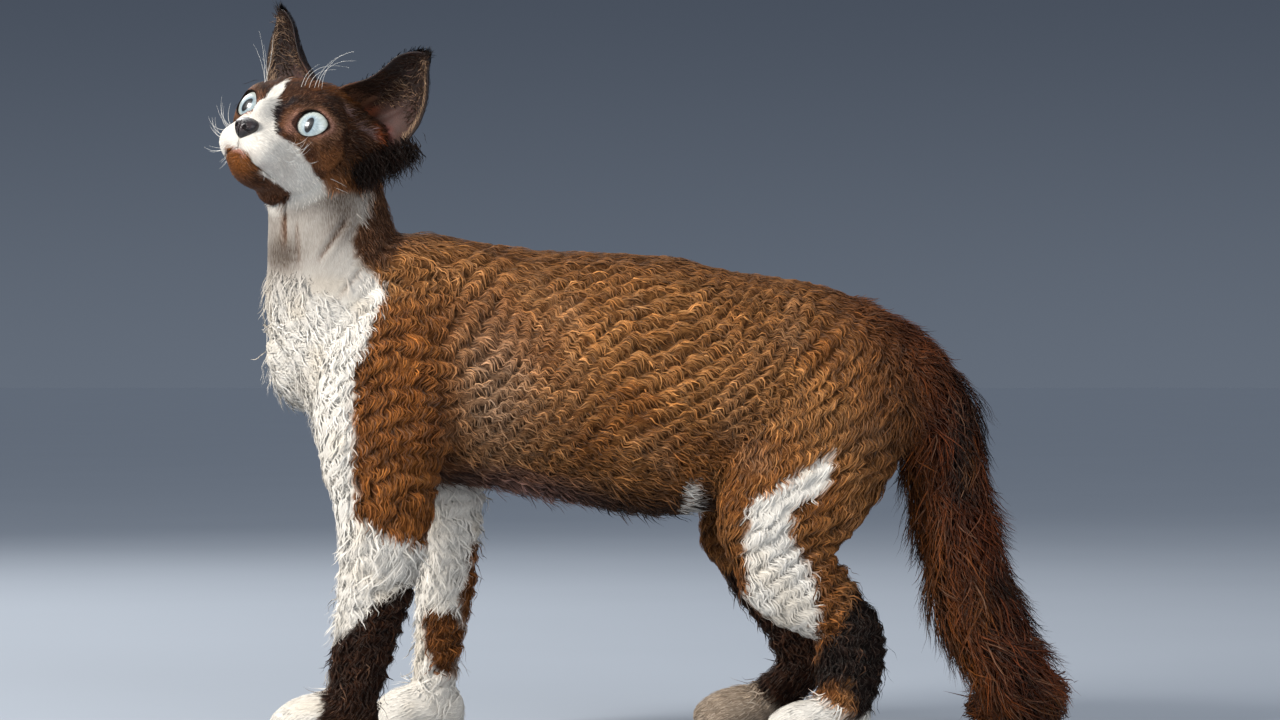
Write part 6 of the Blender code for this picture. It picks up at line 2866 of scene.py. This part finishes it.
LAMPS = [
    Lamp("key", (-2.0, -1.25, 1.5), 0.9, 92, (1.0, 0.98, 0.95)),
    Lamp("fill", (1.2, -2.2, 0.9), 1.4, 24, (0.94, 0.97, 1.0)),
    Lamp("rim", (-0.9, 1.6, 1.5), 0.9, 26, (1.0, 0.98, 0.95)),
]


@dataclass
class Studio:
    """A pale floor, soft light and the camera."""

    floor_size: float = 60.0
    frame_width: float = 1280
    scale: float = 0.55  # millimetres to one of the frame's pixels at the cat's middle
    distance: float = 2400
    aim: tuple[float, float] = (-11, 207.35)
    sensor: float = 36
    lit: Spot = (-0.05, 0, 0.2)  # where the lights point, in metres

    def floor(self) -> None:
        """Lays the floor."""
        half = self.floor_size / 2
        mesh = bpy.data.meshes.new("floor")
        corners = [(-half, -half, 0), (half, -half, 0), (half, half, 0), (-half, half, 0)]
        mesh.from_pydata(corners, [], [(0, 1, 2, 3)])
        mesh.materials.append(FloorFinish().material())
        floor = bpy.data.objects.new("floor", mesh)
        bpy.context.scene.collection.objects.link(floor)

    def hang(self, lamp: Lamp) -> None:
        """Hangs one light, facing the cat.

        Args:
            lamp: the light.
        """
        light = bpy.data.lights.new(lamp.name, "AREA")
        light.shape, light.size, light.energy, light.color = "SQUARE", lamp.size, lamp.power, lamp.colour
        hung = bpy.data.objects.new(lamp.name, light)
        way = Vector(self.lit) - Vector(lamp.place)
        hung.matrix_world = Matrix.Translation(lamp.place) @ way.to_track_quat("-Z", "Y").to_matrix().to_4x4()
        bpy.context.scene.collection.objects.link(hung)

    def build(self) -> None:
        """Sets the floor, the lights, the world and the camera."""
        self.floor()
        for lamp in LAMPS:
            self.hang(lamp)
        world = bpy.data.worlds.new("studio")
        world.use_nodes = True
        Air(world).fill()
        bpy.context.scene.world = world
        bpy.context.scene.view_settings.view_transform = "Standard"
        camera = bpy.data.cameras.new("camera")
        camera.sensor_width = self.sensor
        camera.lens = self.sensor * self.distance / (self.frame_width * self.scale)
        camera.clip_end = 50
        eye = bpy.data.objects.new("camera", camera)
        spot = to_world(np.array([self.aim[0], -self.distance, self.aim[1]]))
        eye.matrix_world = Matrix.Translation(Vector(spot)) @ Matrix.Rotation(math.pi / 2, 4, "X")
        bpy.context.scene.collection.objects.link(eye)
        bpy.context.scene.camera = eye


def main() -> None:
    """Builds the cat and its studio."""
    logging.basicConfig(level=logging.INFO, format="%(message)s")
    Studio().build()
    hide = Hide()
    skin = Skin()
    body, survey = skin.build(hide)
    body.data.materials.clear()
    body.data.materials.append(SkinFinish().material())
    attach(body, BODY)
    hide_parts(*FLESH)
    LOG.info("skin: %d faces", len(body.data.polygons))
    triangles = arrays_of(body)[2]
    coat = Coat(skin, survey, triangles)
    hair = FurFinish("cat_hair").material()
    coat.build(hair)
    iris, ear = IrisFinish().material(), EarFinish().material()
    for side in Side:
        Eye(side).build(iris)
        one = Ear(side)
        one.wall(ear)
        one.hair(coat, hair)
    Nose().build(LeatherFinish().material())
    Whiskers().build(coat.tree, WhiskerFinish().material())
    Claws().build(HornFinish().material())


if __name__ == "__main__":
    main()
